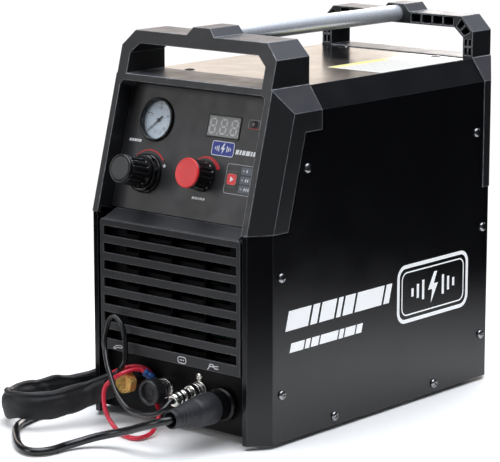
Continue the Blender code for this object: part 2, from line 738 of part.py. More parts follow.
def add_torch_lead():
    place = on_connector_plate(TORCH)
    stud = lathe([(0, -12), (6.3, -12), (6.3, GAP), (7.4, GAP), (7.4, 3), (5.6, 3.4), (5.6, 20), (0, 20)], 20)
    nut = prism(hexagon(15.2, 0.26), "Z", 19, 25.5)
    elbow = Matrix.Translation((0, -1, 12)) @ Matrix.Rotation(-math.pi / 2, 4, "Y")
    add_part("torch_fitting", join(stud, nut, moved(disc(5.0, 0, 14, 20), elbow)), "brass", place)
    hose = cable([(-56.8, 0.0, 34.5), (-61.0, -0.8, 34.2), (-65.8, -7.6, 31.8)], 4.9, 3, 12)
    add_part("torch_hose", hose, "rubber", None, True)
    path = [(-66.8, -14.0, 24.6), (-76.0, -25.0, 18.4), (-81.0, -40.0, 17.0), (-86.0, -56.0, 17.0),
            (-91.5, -67.0, 17.2), (-100.5, -74.5, 17.3), (-112.0, -76.0, 17.0), (-124.0, -71.5, 14.8),
            (-135.0, -60.5, 12.8), (-142.0, -46.0, 11.6), (-144.5, -30.0, 10.6), (-144.0, -12.0, 10.0),
            (-140.0, 6.0, 9.6), (-134.0, 26.0, 9.4), (-130.0, 50.0, 9.4), (-126.5, 90.0, 9.4),
            (-126.0, 140.0, 9.4), (-126.0, 205.0, 9.4), (-126.0, 272.0, 9.4)]
    band = sweep(smooth_path(path, 2), rounded_rectangle(4.5, 13.0, 3.5, 1), upright=True)
    add_part("torch_sleeve", band, "fabric", None, True)


def add_pilot_connection():
    place = on_connector_plate(PILOT)
    post = lathe([(0, -14), (4.3, -14), (4.3, GAP), (7.0, GAP), (7.0, 1.4), (9.2, 1.4), (9.2, 3.6),
                  (4.0, 3.6), (4.0, 22), (0, 22)], 28)
    add_part("pilot_post", post, "nickel", place, True)
    eye = lathe([(4.4, 4.0), (8.6, 4.0), (8.6, 5.6), (4.4, 5.6)], 28, closed=True)
    turn = Matrix.Rotation(math.radians(141), 4, "Z")
    tongue = moved(box((6.5, 15.2), (-2.6, 2.6), (4.1, 5.5)), turn)
    barrel = moved(cable([(13.8, 0, 6.8), (21.0, 0, 10.8)], 3.2, 1, 12), turn)
    add_part("ring_terminal", join(eye, tongue, barrel), "nickel", place)
    nut = lathe([(0, 23.4), (8.8, 23.4), (9.4, 24.2), (10.8, 24.2), (11.4, 23.4), (11.4, 20.6),
                 (10.8, 20.0, 1), (10.8, 6.0, 1), (4.4, 6.0), (4.4, 22.4), (0, 22.4)],
                40, flutes=20, depth=0.9)
    add_part("pilot_nut", nut, "black_plastic", place, True)
    path = [(-30.8, 0.8, 45.0), (-33.2, -1.2, 46.8), (-36.0, -8.0, 47.3), (-39.8, -16.8, 45.2),
            (-46.4, -22.5, 39.8), (-50.6, -26.0, 34.2), (-50.6, -29.0, 26.0), (-45.0, -32.5, 13.8),
            (-35.5, -33.5, 3.6), (-20.0, -37.5, -1.4), (-3.5, -38.0, -1.4), (-1.0, -24.0, -0.6),
            (-4.5, -13.0, 3.4), (-9.0, -3.0, 12.0), (-19.0, 5.5, 15.5), (-26.5, 9.2, 23.0),
            (-28.4, 9.7, 32.0), (-28.8, 9.6, 39.5), (-32.5, 8.0, 45.2), (-39.5, 5.0, 47.4),
            (-46.8, 1.0, 46.6), (-54.0, -3.4, 44.2), (-60.4, -8.0, 40.6), (-65.6, -12.0, 37.4)]
    add_part("pilot_wire", cable(path, 2.1, 2, 6), "red_wire", None, True)


def add_trigger_connection():
    fixed = on_connector_plate(TRIGGER)
    socket = lathe([(0, -14), (6.0, -14), (6.0, GAP), (8.6, GAP), (8.6, 2.2), (6.1, 2.4), (6.1, 9.6),
                    (0, 9.6)], 24)
    add_part("trigger_socket", socket, "nickel", fixed, True)
    place = sagging(fixed)
    collar = lathe([(6.6, 5.6), (7.2, 5.4), (7.2, 8.4, 1), (7.2, 13.4, 1), (6.8, 14.0), (5.5, 14.0),
                    (5.5, 10.4), (6.6, 10.2)], 32, closed=True, flutes=16, depth=0.35)
    add_part("trigger_collar", collar, "nickel", place, True)
    plug = lathe([(0, 10.1), (5.2, 10.1), (5.2, 17.2), (5.9, 17.6, 1), (5.9, 23.0, 1), (5.3, 23.4),
                  (5.3, 25.2), (5.9, 25.6), (5.9, 34.5), (5.0, 35.5), (2.9, 35.8), (2.8, 33.0), (0, 33.0)],
                 30, flutes=10, depth=0.4)
    add_part("trigger_plug", plug, "nickel", place, True)
    start = [tuple(place @ Vector((0, 0, t))) for t in (33.4, 35.0, 37.8)]
    path = start + [(24.7, -33.5, 28.4), (19.8, -37.5, 24.8), (10.6, -39.5, 22.6), (1.4, -39.5, 22.2),
                    (-13.5, -38.0, 23.6), (-29.9, -34.5, 33.6), (-45.5, -27.0, 48.6), (-57.4, -18.5, 58.9),
                    (-63.0, -14.5, 68.8), (-64.4, -11.0, 78.0), (-62.6, -8.0, 88.7), (-57.4, -6.5, 91.3),
                    (-50.1, -6.5, 85.9), (-45.0, -7.5, 75.2), (-43.4, -8.5, 62.7), (-43.6, -10.0, 53.5),
                    (-46.2, -14.4, 46.6), (-51.0, -17.0, 40.6), (-57.6, -17.6, 35.4), (-65.4, -16.2, 30.6)]
    add_part("trigger_lead", cable(path, 2.3, 2, 6), "rubber", None, True)


def sagging(fixed):
    """The trigger plug's frame: it hangs a few degrees in its socket."""
    pivot = Matrix.Translation((0, 0, 7.5))
    return fixed @ pivot @ Matrix.Rotation(PLUG_SAG, 4, "X") @ pivot.inverted()


def add_work_lead():
    place = on_connector_plate(WORK)
    socket = lathe([(0, -16), (11.6, -16), (11.6, GAP), (15.2, GAP), (15.2, 4.6), (14.2, 5.6), (0, 5.6)], 32)
    add_part("work_socket", socket, "black_plastic", place, True)
    ribs = []
    for i in range(5):
        start = 40.5 + 4.6 * i
        radius = 11.6 - 0.75 * i
        ribs += [(radius, start), (radius, start + 2.4),
                 (radius - 1.3, start + 2.9), (radius - 1.5, start + 4.2)]
    plug = lathe([(0, 6.0), (13.4, 6.0), (14.0, 7.0), (14.0, 30.0), (12.4, 38.0)] + ribs
                 + [(7.4, 64.5), (6.9, 68.6), (4.2, 68.6), (4.0, 64.5), (0, 64.5)], 18)
    add_part("work_plug", plug, "rubber", place, True)
    x, z = WORK
    end = CONNECTOR_Y - 65.0
    path = [(x, end, z), (x, end - 4.5, z), (x - 3.6, end - 9.4, z - 0.9), (41.0, -65.4, 25.0),
            (27.0, -65.2, 19.8), (11.3, -64.5, 13.8), (-3.0, -66.5, 9.2), (-15.6, -74.0, 5.4),
            (-24.6, -85.0, 2.0), (-28.8, -98.0, 0.4), (-29.6, -111.0, 0.0),
            (-32.4, -121.0, 0.0), (-39.4, -127.4, 0.0), (-50.5, -126.6, 0.0), (-65.0, -118.4, 0.0),
            (-83.0, -103.4, 0.0), (-97.4, -89.2, 0.0), (-107.4, -75.4, 0.0), (-113.0, -58.0, 0.0),
            (-116.0, -36.0, 0.0), (-116.6, -6.0, 0.0), (-114.4, 44.0, 0.0), (-111.4, 100.0, 0.0),
            (-111.0, 180.0, 0.0), (-111.0, 258.0, 0.0)]
    add_part("work_cable", cable(path, 3.5, 2, 8), "rubber", None, True)


# ---------------------------------------------------------------- inside and rear

def add_fan():
    place = facing_rear(FAN[0], REAR_PANEL_Y - 1, FAN[1])
    half = FAN_SIZE / 2
    frame = cut(prism(rounded_rectangle(half, half, 5, 2), "Z", -25, 0), disc(43.5, -40, 40, 32))
    struts = [moved(box((-45, 45), (-2.2, 2.2), (-3, 0)), Matrix.Rotation(math.radians(angle), 4, "Z"))
              for angle in (45, 135)]
    add_part("fan_frame", join(frame, disc(17, -3, 0, 24), *struts), "black_plastic", place)
    blades = []
    for i in range(7):
        blade = convex([(12, -6, -21), (12, -4.6, -21), (12, 4.6, -6), (12, 6, -6),
                        (42, -10, -19), (42, -8.6, -19), (42, 8.6, -6.5), (42, 10, -6.5)])
        blades.append(moved(blade, Matrix.Rotation(math.tau * i / 7, 4, "Z")))
    rotor = join(disc(17, -23, -3.6, 28), *blades)
    add_part("fan_rotor", rotor, "black_plastic", place)


def add_power_stage():
    teeth = [(-70, 54), (-70, 62), (22, 62), (22, 54)]
    for i in range(9):
        x = 20 - i * 10.5
        teeth += [(x, 54), (x, 12), (x - 3, 12), (x - 3, 54)]
    add_part("heatsink", prism(teeth, "Y", 150, 285), "aluminium")
    board = box((-82, 82), (80, 290), (64, 65.6))
    parts = [moved(disc(15, 65, 105, 20), Matrix.Translation((x, 120, 0))) for x in (-50, -15, 20)]
    parts += [box((-60, -36), (170, 196), (65, 78)), box((-20, 4), (170, 196), (65, 78))]
    choke = lathe([(9, 65), (22, 65), (24, 68), (24, 80), (22, 83), (9, 83), (7, 80), (7, 68)],
                  24, closed=True)
    parts.append(moved(choke, Matrix.Translation((50, 250, 0))))
    add_part("power_board", join(board, *parts), "board_green")
    core = box((34, 86), (190, 240), (8, 60))
    winding = prism(rounded_rectangle(16, 30, 8), "Z", 16, 52)
    winding.transform(Matrix.Translation((60, 215, 0)))
    add_part("transformer", join(core, winding), "copper")


def add_air_path():
    place = facing_rear(INLET[0], REAR_PANEL_Y, INLET[1])
    inlet = join(disc(6.7, -14, 4, 20), prism(hexagon(17), "Z", SHEET + GAP, 8), disc(5.2, 7, 20, 20))
    add_part("air_inlet", inlet, "brass", place)
    coil = moved(disc(12, 0, 30, 20), Matrix.Translation((0, 0, -29)) @ Matrix.Rotation(-math.pi / 2, 4, "X"))
    valve = join(box((-14, 14), (-12, 12), (-44, -14.4)), coil)
    add_part("solenoid_valve", valve, "black_plastic", place)
    x, z = INLET
    y = REAR_PANEL_Y - 44.5
    back = on_panel(*REGULATOR) @ Vector((0, 0, -66.5))
    path = [(x, y - 0.6, z), (x, y - 4, z), (x, y - 14, z), (x + 2, 230, 178), (x + 8, 170, 200),
            (-50, back.y + 22, back.z - 4), tuple(back)]
    add_part("air_hose", cable(path, 4.0, 3, 8), "rubber", None, True)


def add_power_switch():
    x, z = SWITCH
    place = facing_rear(x, REAR_PANEL_Y + SHEET, z)
    body = join(box((-13.2, 13.2), (-10.2, 10.2), (-20, 0.6)),
                prism(rounded_rectangle(16, 13, 2), "Z", GAP, 2.2))
    body = cut(body, box((-11.2, 11.2), (-8.9, 8.9), (-11, 10)))
    add_part("switch_body", body, "black_plastic", place)
    outline = [(-7.2, -5.5), (7.2, -5.5), (7.4, 5.6), (4.0, 4.0), (-4.0, 4.0), (-7.4, 5.6)]
    rocker = prism(outline, "X", -10.7, 10.7)
    rocker.transform(Matrix.Rotation(math.radians(9), 4, "X"))
    pivot = place @ Matrix.Translation((0, 0, -2.5))
    add_part("switch_rocker", rocker, "red_plastic", pivot)


def add_power_cord():
    x, z = CORD
    y = REAR_PANEL_Y + SHEET
    relief = moved(lathe([(0, -8), (7.6, -8), (7.6, GAP), (11, GAP), (11, 4), (8, 6), (7.4, 24),
                          (0, 24)], 20),
                   facing_rear(x, y, z))
    path = [(x, y + 10, z), (x, y + 26, z - 1), (x - 1, y + 44, z - 14), (x - 4, y + 52, z - 40),
            (x - 14, y + 54, 8), (x - 34, y + 54, 1), (x - 60, y + 51, 3.5), (x - 84, y + 50, 10)]
    cord = cable(path, 4.4, 2, 8)
    plug = moved(lathe([(0, -2), (6, -2), (9, 8), (13, 14), (13, 30), (0, 30)], 20),
                 Matrix.Translation((x - 82, y + 50, 10)) @ Matrix.Rotation(-math.pi / 2, 4, "Y"))
    blades = [box((x - 130, x - 110), (y + 50 + s - 1, y + 50 + s + 1), (6.5, 13.5)) for s in (-6, 6)]
    add_part("power_cord", join(cord, relief, plug, *blades), "rubber")


def add_side_screws():
    for name, (y, z) in SCREWS.items():
        head = lathe([(0, -5), (2.0, -5), (2.0, GAP), (4.6, GAP), (4.3, 1.6), (2.6, 2.5), (0, 2.7)], 16)
        slots = [box((-2.6, 2.6), (-0.55, 0.55), (1.4, 5)), box((-0.55, 0.55), (-2.6, 2.6), (1.4, 5))]
        add_part("cover_screw_" + name, cut(head, *slots), "black_paint", facing_side(1, y, z))


# ---------------------------------------------------------------- assembly

def add_casing():
    add_part("outer_cover", outer_cover(), "black_paint")
    add_part("base_plate", base_plate(), "steel")
    add_part("front_bezel", front_bezel(), "dark_plastic")
    add_part("rear_bezel", rear_bezel(), "dark_plastic")
    add_part("handle_tube", handle_tube(), "aluminium", facing_front(0, 0, TUBE_Z), True)
    add_part("front_grille", front_grille(), "dark_plastic")
    add_part("control_panel", control_panel(), "panel_grey", on_panel(0, LEDGE_Z))
    add_part("connector_panel", connector_panel(), "black_paint")
    add_part("rear_panel", rear_panel(), "black_paint")
    names = ("foot_front_left", "foot_front_right", "foot_rear_left", "foot_rear_right")
    for name, (x, y) in zip(names, foot_places()):
        add_part(name, foot(), "rubber", Matrix.Translation((x, y, 0)), True)


def build():
    clear_scene()
    add_casing()
    add_gauge()
    add_regulator()
    add_current_control()
    add_display()
    add_mode_button()
    add_lamp()
    add_control_board()
    add_torch_lead()
    add_pilot_connection()
    add_trigger_connection()
    add_work_lead()
    add_fan()
    add_power_stage()
    add_air_path()
    add_power_switch()
    add_power_cord()
    add_side_screws()


build()
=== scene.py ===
"""Looks for an inverter plasma cutter: a sheet-metal case between moulded end frames, with its leads.

Lengths are in millimetres in case coordinates: x to the right, y from the front lips to the rear,
z up from the lower edge of the side sheets. case() carries a point into the frame's metres.
"""

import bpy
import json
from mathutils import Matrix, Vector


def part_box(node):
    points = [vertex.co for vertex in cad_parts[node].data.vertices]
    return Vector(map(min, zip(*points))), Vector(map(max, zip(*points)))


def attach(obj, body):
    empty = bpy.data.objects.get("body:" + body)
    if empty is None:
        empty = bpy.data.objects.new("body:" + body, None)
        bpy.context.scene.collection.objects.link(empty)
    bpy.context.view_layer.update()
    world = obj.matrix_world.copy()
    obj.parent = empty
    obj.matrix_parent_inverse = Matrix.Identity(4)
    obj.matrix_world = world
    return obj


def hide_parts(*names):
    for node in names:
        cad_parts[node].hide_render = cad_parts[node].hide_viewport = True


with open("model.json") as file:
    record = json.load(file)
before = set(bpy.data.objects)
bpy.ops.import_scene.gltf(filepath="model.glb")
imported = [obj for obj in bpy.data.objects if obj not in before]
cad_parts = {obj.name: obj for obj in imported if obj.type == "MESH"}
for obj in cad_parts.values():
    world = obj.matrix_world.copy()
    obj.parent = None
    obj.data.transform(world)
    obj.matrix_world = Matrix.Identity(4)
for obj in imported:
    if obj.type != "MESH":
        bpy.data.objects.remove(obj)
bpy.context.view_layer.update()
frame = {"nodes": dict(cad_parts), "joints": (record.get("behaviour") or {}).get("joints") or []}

import json
import math
import random

import bmesh
import bpy
from mathutils import Matrix, Vector, noise

MM = 0.001
UP = Vector((0, 0, 1))
NODES = frame["nodes"]
JOINTS = {joint["name"]: joint for joint in frame["joints"]}
COVER_LOW, COVER_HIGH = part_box("outer_cover")
CASE_ORIGIN = Vector((0.0, COVER_LOW.y, COVER_LOW.z))
HALF_WIDTH = COVER_HIGH.x / MM
DECK_Z = (COVER_HIGH.z - COVER_LOW.z) / MM
FLOOR_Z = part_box("foot_front_left")[0].z

# Faces of the recessed connector panel and of the rear panel.
PLATE_Y = 12.0
REAR_Y = (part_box("rear_panel")[1].y - CASE_ORIGIN.y) / MM

# Stations on those panels and on the control panel, as x and z.
TORCH = (-42.0, 35.5)
TRIGGER = (25.5, 36.2)
WORK = (53.3, 29.2)
CORD = (-62.0, 70.0)
AIR_INLET = (-62.0, 150.0)
REGULATOR = (-50.0, 214.4)

# The hollow behind the grille's slots, where the grille's material paints shade, starts at this depth and
# ends at this height.
HOLLOW_Y = 2.3
HOLLOW_Z = 172.5

# Print is a thin solid that starts just off its surface. Film and decals are a little thicker.
PRINT_LOW = 0.02
PRINT_HIGH = 0.10
DECAL_HIGH = 0.14

# The two side sheets, and how far the screw heads stand off them.
SIDES = ((1, "right"), (-1, "left"))
SCREW_GAP = 0.1

DISPLAY_HALF_HEIGHT = 9.6
DIAL_FACE = -3.0
DIAL_SWEEP = 270.0
DIAL_START = 225.0
NEEDLE_AT_REST = 133.0
BOLT = ((0.10, 1.0), (-0.55, -0.12), (-0.08, -0.12), (-0.22, -1.0), (0.52, 0.22), (0.06, 0.22), (0.42, 1.0))

SLEEVE_PATH = ((-59.5, -6.5, 31.5), (-66.8, -14.0, 28.0), (-76.0, -25.0, 21.0), (-81.0, -40.0, 18.0),
               (-86.0, -56.0, 17.0), (-91.5, -67.0, 17.2), (-100.5, -74.5, 17.3), (-112.0, -76.0, 17.0),
               (-124.0, -71.5, 14.8), (-135.0, -60.5, 12.8), (-142.0, -46.0, 11.6), (-144.5, -30.0, 10.6),
               (-144.0, -12.0, 10.0), (-140.0, 6.0, 9.6), (-134.0, 26.0, 9.4), (-130.0, 50.0, 9.4),
               (-126.5, 90.0, 9.4), (-126.0, 140.0, 9.4), (-126.0, 205.0, 9.4), (-126.0, 271.0, 9.4))
SLEEVE_STEP = 2.6
SLEEVE_SIDES = 44
SLEEVE_HALF_THICK = 5.0
SLEEVE_HALF_HIGH = 9.8
CLOTH_FRAMES = 14
CLOTH_REACH = 1.8
CLOTH = {"quality": 4, "mass": 0.25, "tension_stiffness": 12, "compression_stiffness": 12,
         "shear_stiffness": 6, "bending_stiffness": 0.4, "shrink_min": -0.05, "use_pressure": True,
         "uniform_pressure_force": 0.6}

# The camera looks at TARGET from DISTANCE metres away, with a long lens.
AZIMUTH = math.radians(40.708)
ELEVATION = math.radians(11.297)
TARGET = (0.4, 106.7, 157.9)
DISTANCE = 2.0939
LENS = 170.08

# The floor is solid within the first radius, in metres, and gone at the second.
FLOOR_SOLID = 0.26
FLOOR_RADIUS = 0.62

# World light, from straight down at 0 to straight up at 1.
SKY = ((0.46, (0.02, 0.02, 0.021)), (0.50, (0.03, 0.03, 0.032)), (0.60, (0.09, 0.09, 0.10)),
       (0.84, (0.15, 0.16, 0.19)), (0.92, (0.72, 0.78, 0.92)), (1.00, (0.80, 0.86, 1.00)))
ROOM_STRENGTH = 0.9
BACKDROP_STRENGTH = 1.05

# Area lights in metres: name, place, point aimed at, width and height, watts, colour.
LIGHTS = (("overhead", (0.1, 0.0, 1.5), (0, 0, 0), (1.8, 1.8), 42, (0.93, 0.96, 1.0)),
          ("front_fill", (-0.9, -2.0, 0.75), (0, 0, 0.1), (1.4, 1.0), 13, (1.0, 1.0, 1.0)),
          ("right_fill", (2.0, -0.9, 0.35), (0, 0, 0.05), (0.9, 0.5), 0.8, (1.0, 1.0, 1.0)),
          ("warm_card", (-1.45, 1.75, 0.62), (0, 0, 0.3), (2.6, 1.2), 20, (1.0, 0.87, 0.76)),
          ("rear_fill", (-0.6, 2.0, 0.9), (0, 0, 0.1), (1.4, 0.9), 16, (1.0, 1.0, 1.0)))

RANDOM_SEED = 40
random.seed(RANDOM_SEED)


# ---------------------------------------------------------------- places

def case(x, y, z):
    return CASE_ORIGIN + Vector((x, y, z)) * MM


def in_case(point):
    """A point in metres, back in case millimetres."""
    return (point - CASE_ORIGIN) / MM


def frame_of(origin, out, up=UP):
    """A placing matrix whose z is out and whose y is as near to up as it can be."""
    z = Vector(out).normalized()
    x = Vector(up).cross(z).normalized()
    y = z.cross(x)
    rotation = Matrix((x, y, z)).transposed().to_4x4()
    return Matrix.Translation(origin) @ rotation


def shifted(x, y, z):
    """A move in millimetres."""
    return Matrix.Translation(Vector((x, y, z)) * MM)


def joint_frame(name):
    joint = JOINTS[name]
    return frame_of(Vector(joint["pos_m"]), joint["axis"])


PANEL = joint_frame("current_turn")
PANEL_UP = PANEL.to_3x3().col[1]


def on_panel(x, z):
    """A station on the leaning panel, at x and height z."""
    rise = (z * MM + CASE_ORIGIN.z - PANEL.translation.z) / PANEL_UP.z
    point = PANEL.translation + PANEL_UP * rise
    point.x = x * MM
    return Matrix.Translation(point - PANEL.translation) @ PANEL


def panel_at(node):
    """The station on the leaning panel's face in front of a node."""
    low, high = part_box(node)
    middle = (low + high) / 2 - PANEL.translation
    return PANEL @ Matrix.Translation((middle.x, middle.dot(PANEL_UP), 0))


def on_front(x, y, z):
    return frame_of(case(x, y, z), (0, -1, 0))


def on_side(side, y, z, out=0.0):
    """A station on the right side sheet for side 1, or on the left one for -1."""
    return frame_of(case(side * (HALF_WIDTH + out), y, z), (side, 0, 0))


def on_rear(x, y, z):
    return frame_of(case(x, y, z), (0, 1, 0))


def on_deck(x, y):
    return frame_of(case(x, y, DECK_Z), (0, 0, 1), (0, 1, 0))


# ---------------------------------------------------------------- node trees

class Nodes:
    """A node tree and short ways to add to it."""

    def __init__(self, tree):
        self.tree = tree

    def add(self, kind, **settings):
        node = self.tree.nodes.new(kind)
        for key, value in settings.items():
            setattr(node, key, value)
        return node

    def feed(self, value, socket):
        """Give a socket a constant or another node's output."""
        if isinstance(value, bpy.types.NodeSocket):
            self.tree.links.new(value, socket)
        else:
            socket.default_value = value

    def blend_shaders(self, factor, one, two, output):
        mixed = self.add("ShaderNodeMixShader")
        self.feed(factor, mixed.inputs["Fac"])
        self.feed(one.outputs[0], mixed.inputs[1])
        self.feed(two.outputs[0], mixed.inputs[2])
        self.feed(mixed.outputs[0], output.inputs["Surface"])


class Look(Nodes):
    """A Principled material whose detail nodes are added one call at a time.

    Scales are in features per metre. Methods that change the material return it, so they chain.
    """

    def __init__(self, name, color, roughness, metallic=0.0, **inputs):
        self.material = bpy.data.materials.new(name)
        self.material.use_nodes = True
        super().__init__(self.material.node_tree)
        self.shader = self.tree.nodes["Principled BSDF"]
        self.color = (*color, 1.0)
        self.set("Base Color", self.color).set("Roughness", roughness).set("Metallic", metallic)
        for key, value in inputs.items():
            self.set(key.replace("_", " "), value)
        self.roughness = roughness
        self.normal = None
        self.place = self.add("ShaderNodeTexCoord").outputs["Object"]

    def set(self, name, value):
        self.feed(value, self.shader.inputs[name])
        return self

    def axes(self, name):
        """The x, y and z of the surface's Position or Normal."""
        split = self.add("ShaderNodeSeparateXYZ")
        self.feed(self.add("ShaderNodeNewGeometry").outputs[name], split.inputs[0])
        return split.outputs

    def calculate(self, operation, one, two):
        node = self.add("ShaderNodeMath", operation=operation)
        self.feed(one, node.inputs[0])
        self.feed(two, node.inputs[1])
        return node.outputs[0]

    def stretched(self, scale):
        mapping = self.add("ShaderNodeMapping")
        self.feed(scale, mapping.inputs["Scale"])
        self.feed(self.place, mapping.inputs["Vector"])
        return mapping.outputs["Vector"]

    def pattern(self, kind, stretch=None, settings=(), **inputs):
        """A texture node in object space, with its inputs set."""
        node = self.add(kind, **dict(settings))
        for key, value in inputs.items():
            self.feed(value, node.inputs[key.replace("_", " ")])
        self.feed(self.stretched(stretch) if stretch else self.place, node.inputs["Vector"])
        return node.outputs

    def noise(self, scale, detail=3.0, stretch=None):
        """Noise between 0 and 1."""
        return self.pattern("ShaderNodeTexNoise", stretch, Scale=scale, Detail=detail)["Fac"]

    def waves(self, scale, direction="Z", kind="BANDS", distortion=0.0):
        way = "bands_direction" if kind == "BANDS" else "rings_direction"
        settings = {"wave_type": kind, way: direction}
        return self.pattern("ShaderNodeTexWave", None, settings, Scale=scale, Distortion=distortion)["Fac"]

    def spread(self, value, low, high, start=0.3, end=0.7):
        """Map a value that runs from start to end to one that runs from low to high."""
        node = self.add("ShaderNodeMapRange")
        for key, number in (("From Min", start), ("From Max", end), ("To Min", low), ("To Max", high)):
            self.feed(number, node.inputs[key])
        self.feed(value, node.inputs["Value"])
        return node.outputs["Result"]

    def mix(self, factor, one, two):
        node = self.add("ShaderNodeMix", data_type="RGBA")
        self.feed(factor, node.inputs["Factor"])
        for socket, color in ((node.inputs[6], one), (node.inputs[7], two)):
            self.feed((*color[:3], 1.0) if isinstance(color, tuple) else color, socket)
        return node.outputs[2]

    def tint(self, factor, other):
        """Blend the present base colour towards another one by a factor."""
        socket = self.shader.inputs["Base Color"]
        now = socket.links[0].from_socket if socket.links else self.color
        return self.set("Base Color", self.mix(factor, now, other))

    def mottle(self, scale, amount):
        """Slow lighter and darker patches."""
        dark = tuple(c * (1 - amount) for c in self.color[:3])
        light = tuple(min(1.0, c * (1 + amount)) for c in self.color[:3])
        return self.set("Base Color", self.mix(self.spread(self.noise(scale), 0.0, 1.0), dark, light))

    def patchy_gloss(self, scale, amount, stretch=None):
        low, high = self.roughness - amount, self.roughness + amount
        return self.set("Roughness", self.spread(self.noise(scale, 4.0, stretch), max(low, 0.02), high))

    def bump(self, height, depth_mm, strength=1.0):
        """Stack a bump whose full height is depth_mm."""
        node = self.add("ShaderNodeBump")
        self.feed(depth_mm * MM, node.inputs["Distance"])
        self.feed(strength, node.inputs["Strength"])
        self.feed(height, node.inputs["Height"])
        if self.normal:
            self.feed(self.normal, node.inputs["Normal"])
        self.normal = node.outputs["Normal"]
        return self.set("Normal", self.normal)

    def grain(self, scale, depth_mm, strength=0.5, detail=3.0, stretch=None):
        return self.bump(self.noise(scale, detail, stretch), depth_mm, strength)

    def rounded_normal(self, radius_mm):
        soft = self.add("ShaderNodeBevel", samples=4)
        self.feed(radius_mm * MM, soft.inputs["Radius"])
        return soft.outputs["Normal"]

    def soft_edges(self, radius_mm):
        """Round the shading at corners, before any bump."""
        self.normal = self.rounded_normal(radius_mm)
        return self

    def worn_and_highlit_edges(self, color, radius_mm, amount):
        """Lighten where the surface turns sharply, in broken patches: partly wear from handling, mostly a
        painted highlight.
        """
        dot = self.add("ShaderNodeVectorMath", operation="DOT_PRODUCT")
        self.feed(self.rounded_normal(radius_mm), dot.inputs[0])
        self.feed(self.add("ShaderNodeNewGeometry").outputs["Normal"], dot.inputs[1])
        # Where the rounded normal turns from the true one: this lightening is mostly a painted highlight.
        edge_lightening = self.spread(dot.outputs["Value"], amount, 0.0, 0.93, 0.998)
        patches = self.spread(self.noise(160, 5.0), 0.35, 1.0)
        return self.tint(self.calculate("MULTIPLY", edge_lightening, patches), color)


# ---------------------------------------------------------------- looks of plastic, paint and rubber

def moulded_plastic(name="moulded_plastic", color=(0.0080, 0.0082, 0.0098), radius_mm=1.1, painted_top_light=0.9,
                    wear_and_highlight=0.58):
    """Spark-grained plastic, with painted light on its upward faces and, along its edges, a painted highlight
    with some wear.
    """
    look = Look(name, color, 0.42).soft_edges(radius_mm).mottle(14, 0.10).patchy_gloss(60, 0.05)
    look.tint(look.spread(look.noise(620, 2.0), 0.0, 0.45, 0.55, 0.72), tuple(2.4 * c for c in color))
    # Upward faces are tinted lighter and bluer: painted light from above.
    look.tint(look.spread(look.axes("Normal")["Z"], 0.0, painted_top_light, 0.25, 0.75), (0.036, 0.038, 0.048))
    look.grain(650, 0.11, 0.6, 2.0).grain(1900, 0.03, 0.5, 1.0)
    # Edges get a painted highlight, with some wear.
    return look.worn_and_highlit_edges((wear_and_highlight, wear_and_highlight * 1.01, wear_and_highlight * 1.06), 1.05, 0.95)


def grille_plastic():
    """The grille's plastic, with painted shade on the webs in the hollow behind its slots: darkened and far
    less reflective.
    """
    look = moulded_plastic("moulded_grille", (0.0175, 0.0175, 0.0195), 0.6, 0.0, 0.20)
    start = case(0, HOLLOW_Y, HOLLOW_Z)
    position = look.axes("Position")
    deep = look.calculate("GREATER_THAN", position["Y"], start.y)
    below = look.calculate("LESS_THAN", position["Z"], start.z)
    hollow = look.calculate("MULTIPLY", deep, below)
    # Painted shade: the webs in the hollow are darkened and lose most of their reflection.
    look.tint(hollow, (0.0015, 0.0015, 0.0018))
    return look.set("Specular IOR Level", look.spread(hollow, 0.5, 0.05, 0.0, 1.0))


def powder_coat():
    look = Look("powder_coat", (0.0022, 0.0023, 0.0030), 0.20, Specular_IOR_Level=0.42).soft_edges(1.6)
    look.mottle(9, 0.12).patchy_gloss(22, 0.04).grain(420, 0.020, 0.5, 2.0).grain(1900, 0.006, 0.5, 1.0)
    # Painted highlight along the edges, with some wear.
    return look.worn_and_highlit_edges((0.16, 0.165, 0.18), 0.6, 0.7)


def panel_film(name, color, shine=0.5):
    look = Look(name, color, 0.38, Specular_IOR_Level=shine)
    return look.mottle(18, 0.08).patchy_gloss(90, 0.05).grain(2600, 0.012, 0.6, 2.0)


def gloss_black():
    look = Look("gloss_black", (0.0045, 0.0045, 0.005), 0.20)
    look.mottle(60, 0.15).patchy_gloss(260, 0.06).grain(1700, 0.008, 0.5, 2.0)
    # Painted highlight along the edges, with some wear.
    return look.worn_and_highlit_edges((0.05, 0.05, 0.055), 0.3, 0.4)


def satin_black():
    look = Look("satin_black", (0.008, 0.008, 0.009), 0.42)
    return look.mottle(70, 0.12).patchy_gloss(200, 0.07).grain(2200, 0.015, 0.6, 2.0)


def turned_grey(name, color, dark, roughness=0.42):
    """Plastic or metal with the fine rings of a lathe cut."""
    look = Look(name, color, roughness)
    rings = look.waves(900, "Z", "RINGS", 0.6)
    look.tint(look.spread(rings, 0.0, 0.5, 0.2, 0.8), dark)
    return look.bump(rings, 0.05, 0.6).grain(2500, 0.02)


def red_plastic():
    look = Look("red_plastic", (0.72, 0.024, 0.028), 0.34, Subsurface_Weight=0.05)
    look.mottle(70, 0.06).patchy_gloss(200, 0.06).grain(1500, 0.012, 0.5, 2.0)
    # Painted highlight along the edges, with some wear.
    return look.worn_and_highlit_edges((0.95, 0.32, 0.30), 0.5, 0.5)


def black_rubber():
    look = Look("black_rubber", (0.014, 0.015, 0.019), 0.50, Sheen_Weight=0.06)
    return look.mottle(45, 0.14).patchy_gloss(150, 0.08).grain(1300, 0.03, 0.6)


def cable_jacket():
    look = Look("cable_jacket", (0.0045, 0.0045, 0.0052), 0.26, Coat_Weight=0.10)
    return look.mottle(50, 0.14).patchy_gloss(120, 0.03).grain(900, 0.004).grain(3200, 0.006)


def red_wire():
    look = Look("red_wire", (0.60, 0.022, 0.050), 0.28, Subsurface_Weight=0.08)
    return look.mottle(55, 0.12).patchy_gloss(130, 0.06).grain(1100, 0.015)


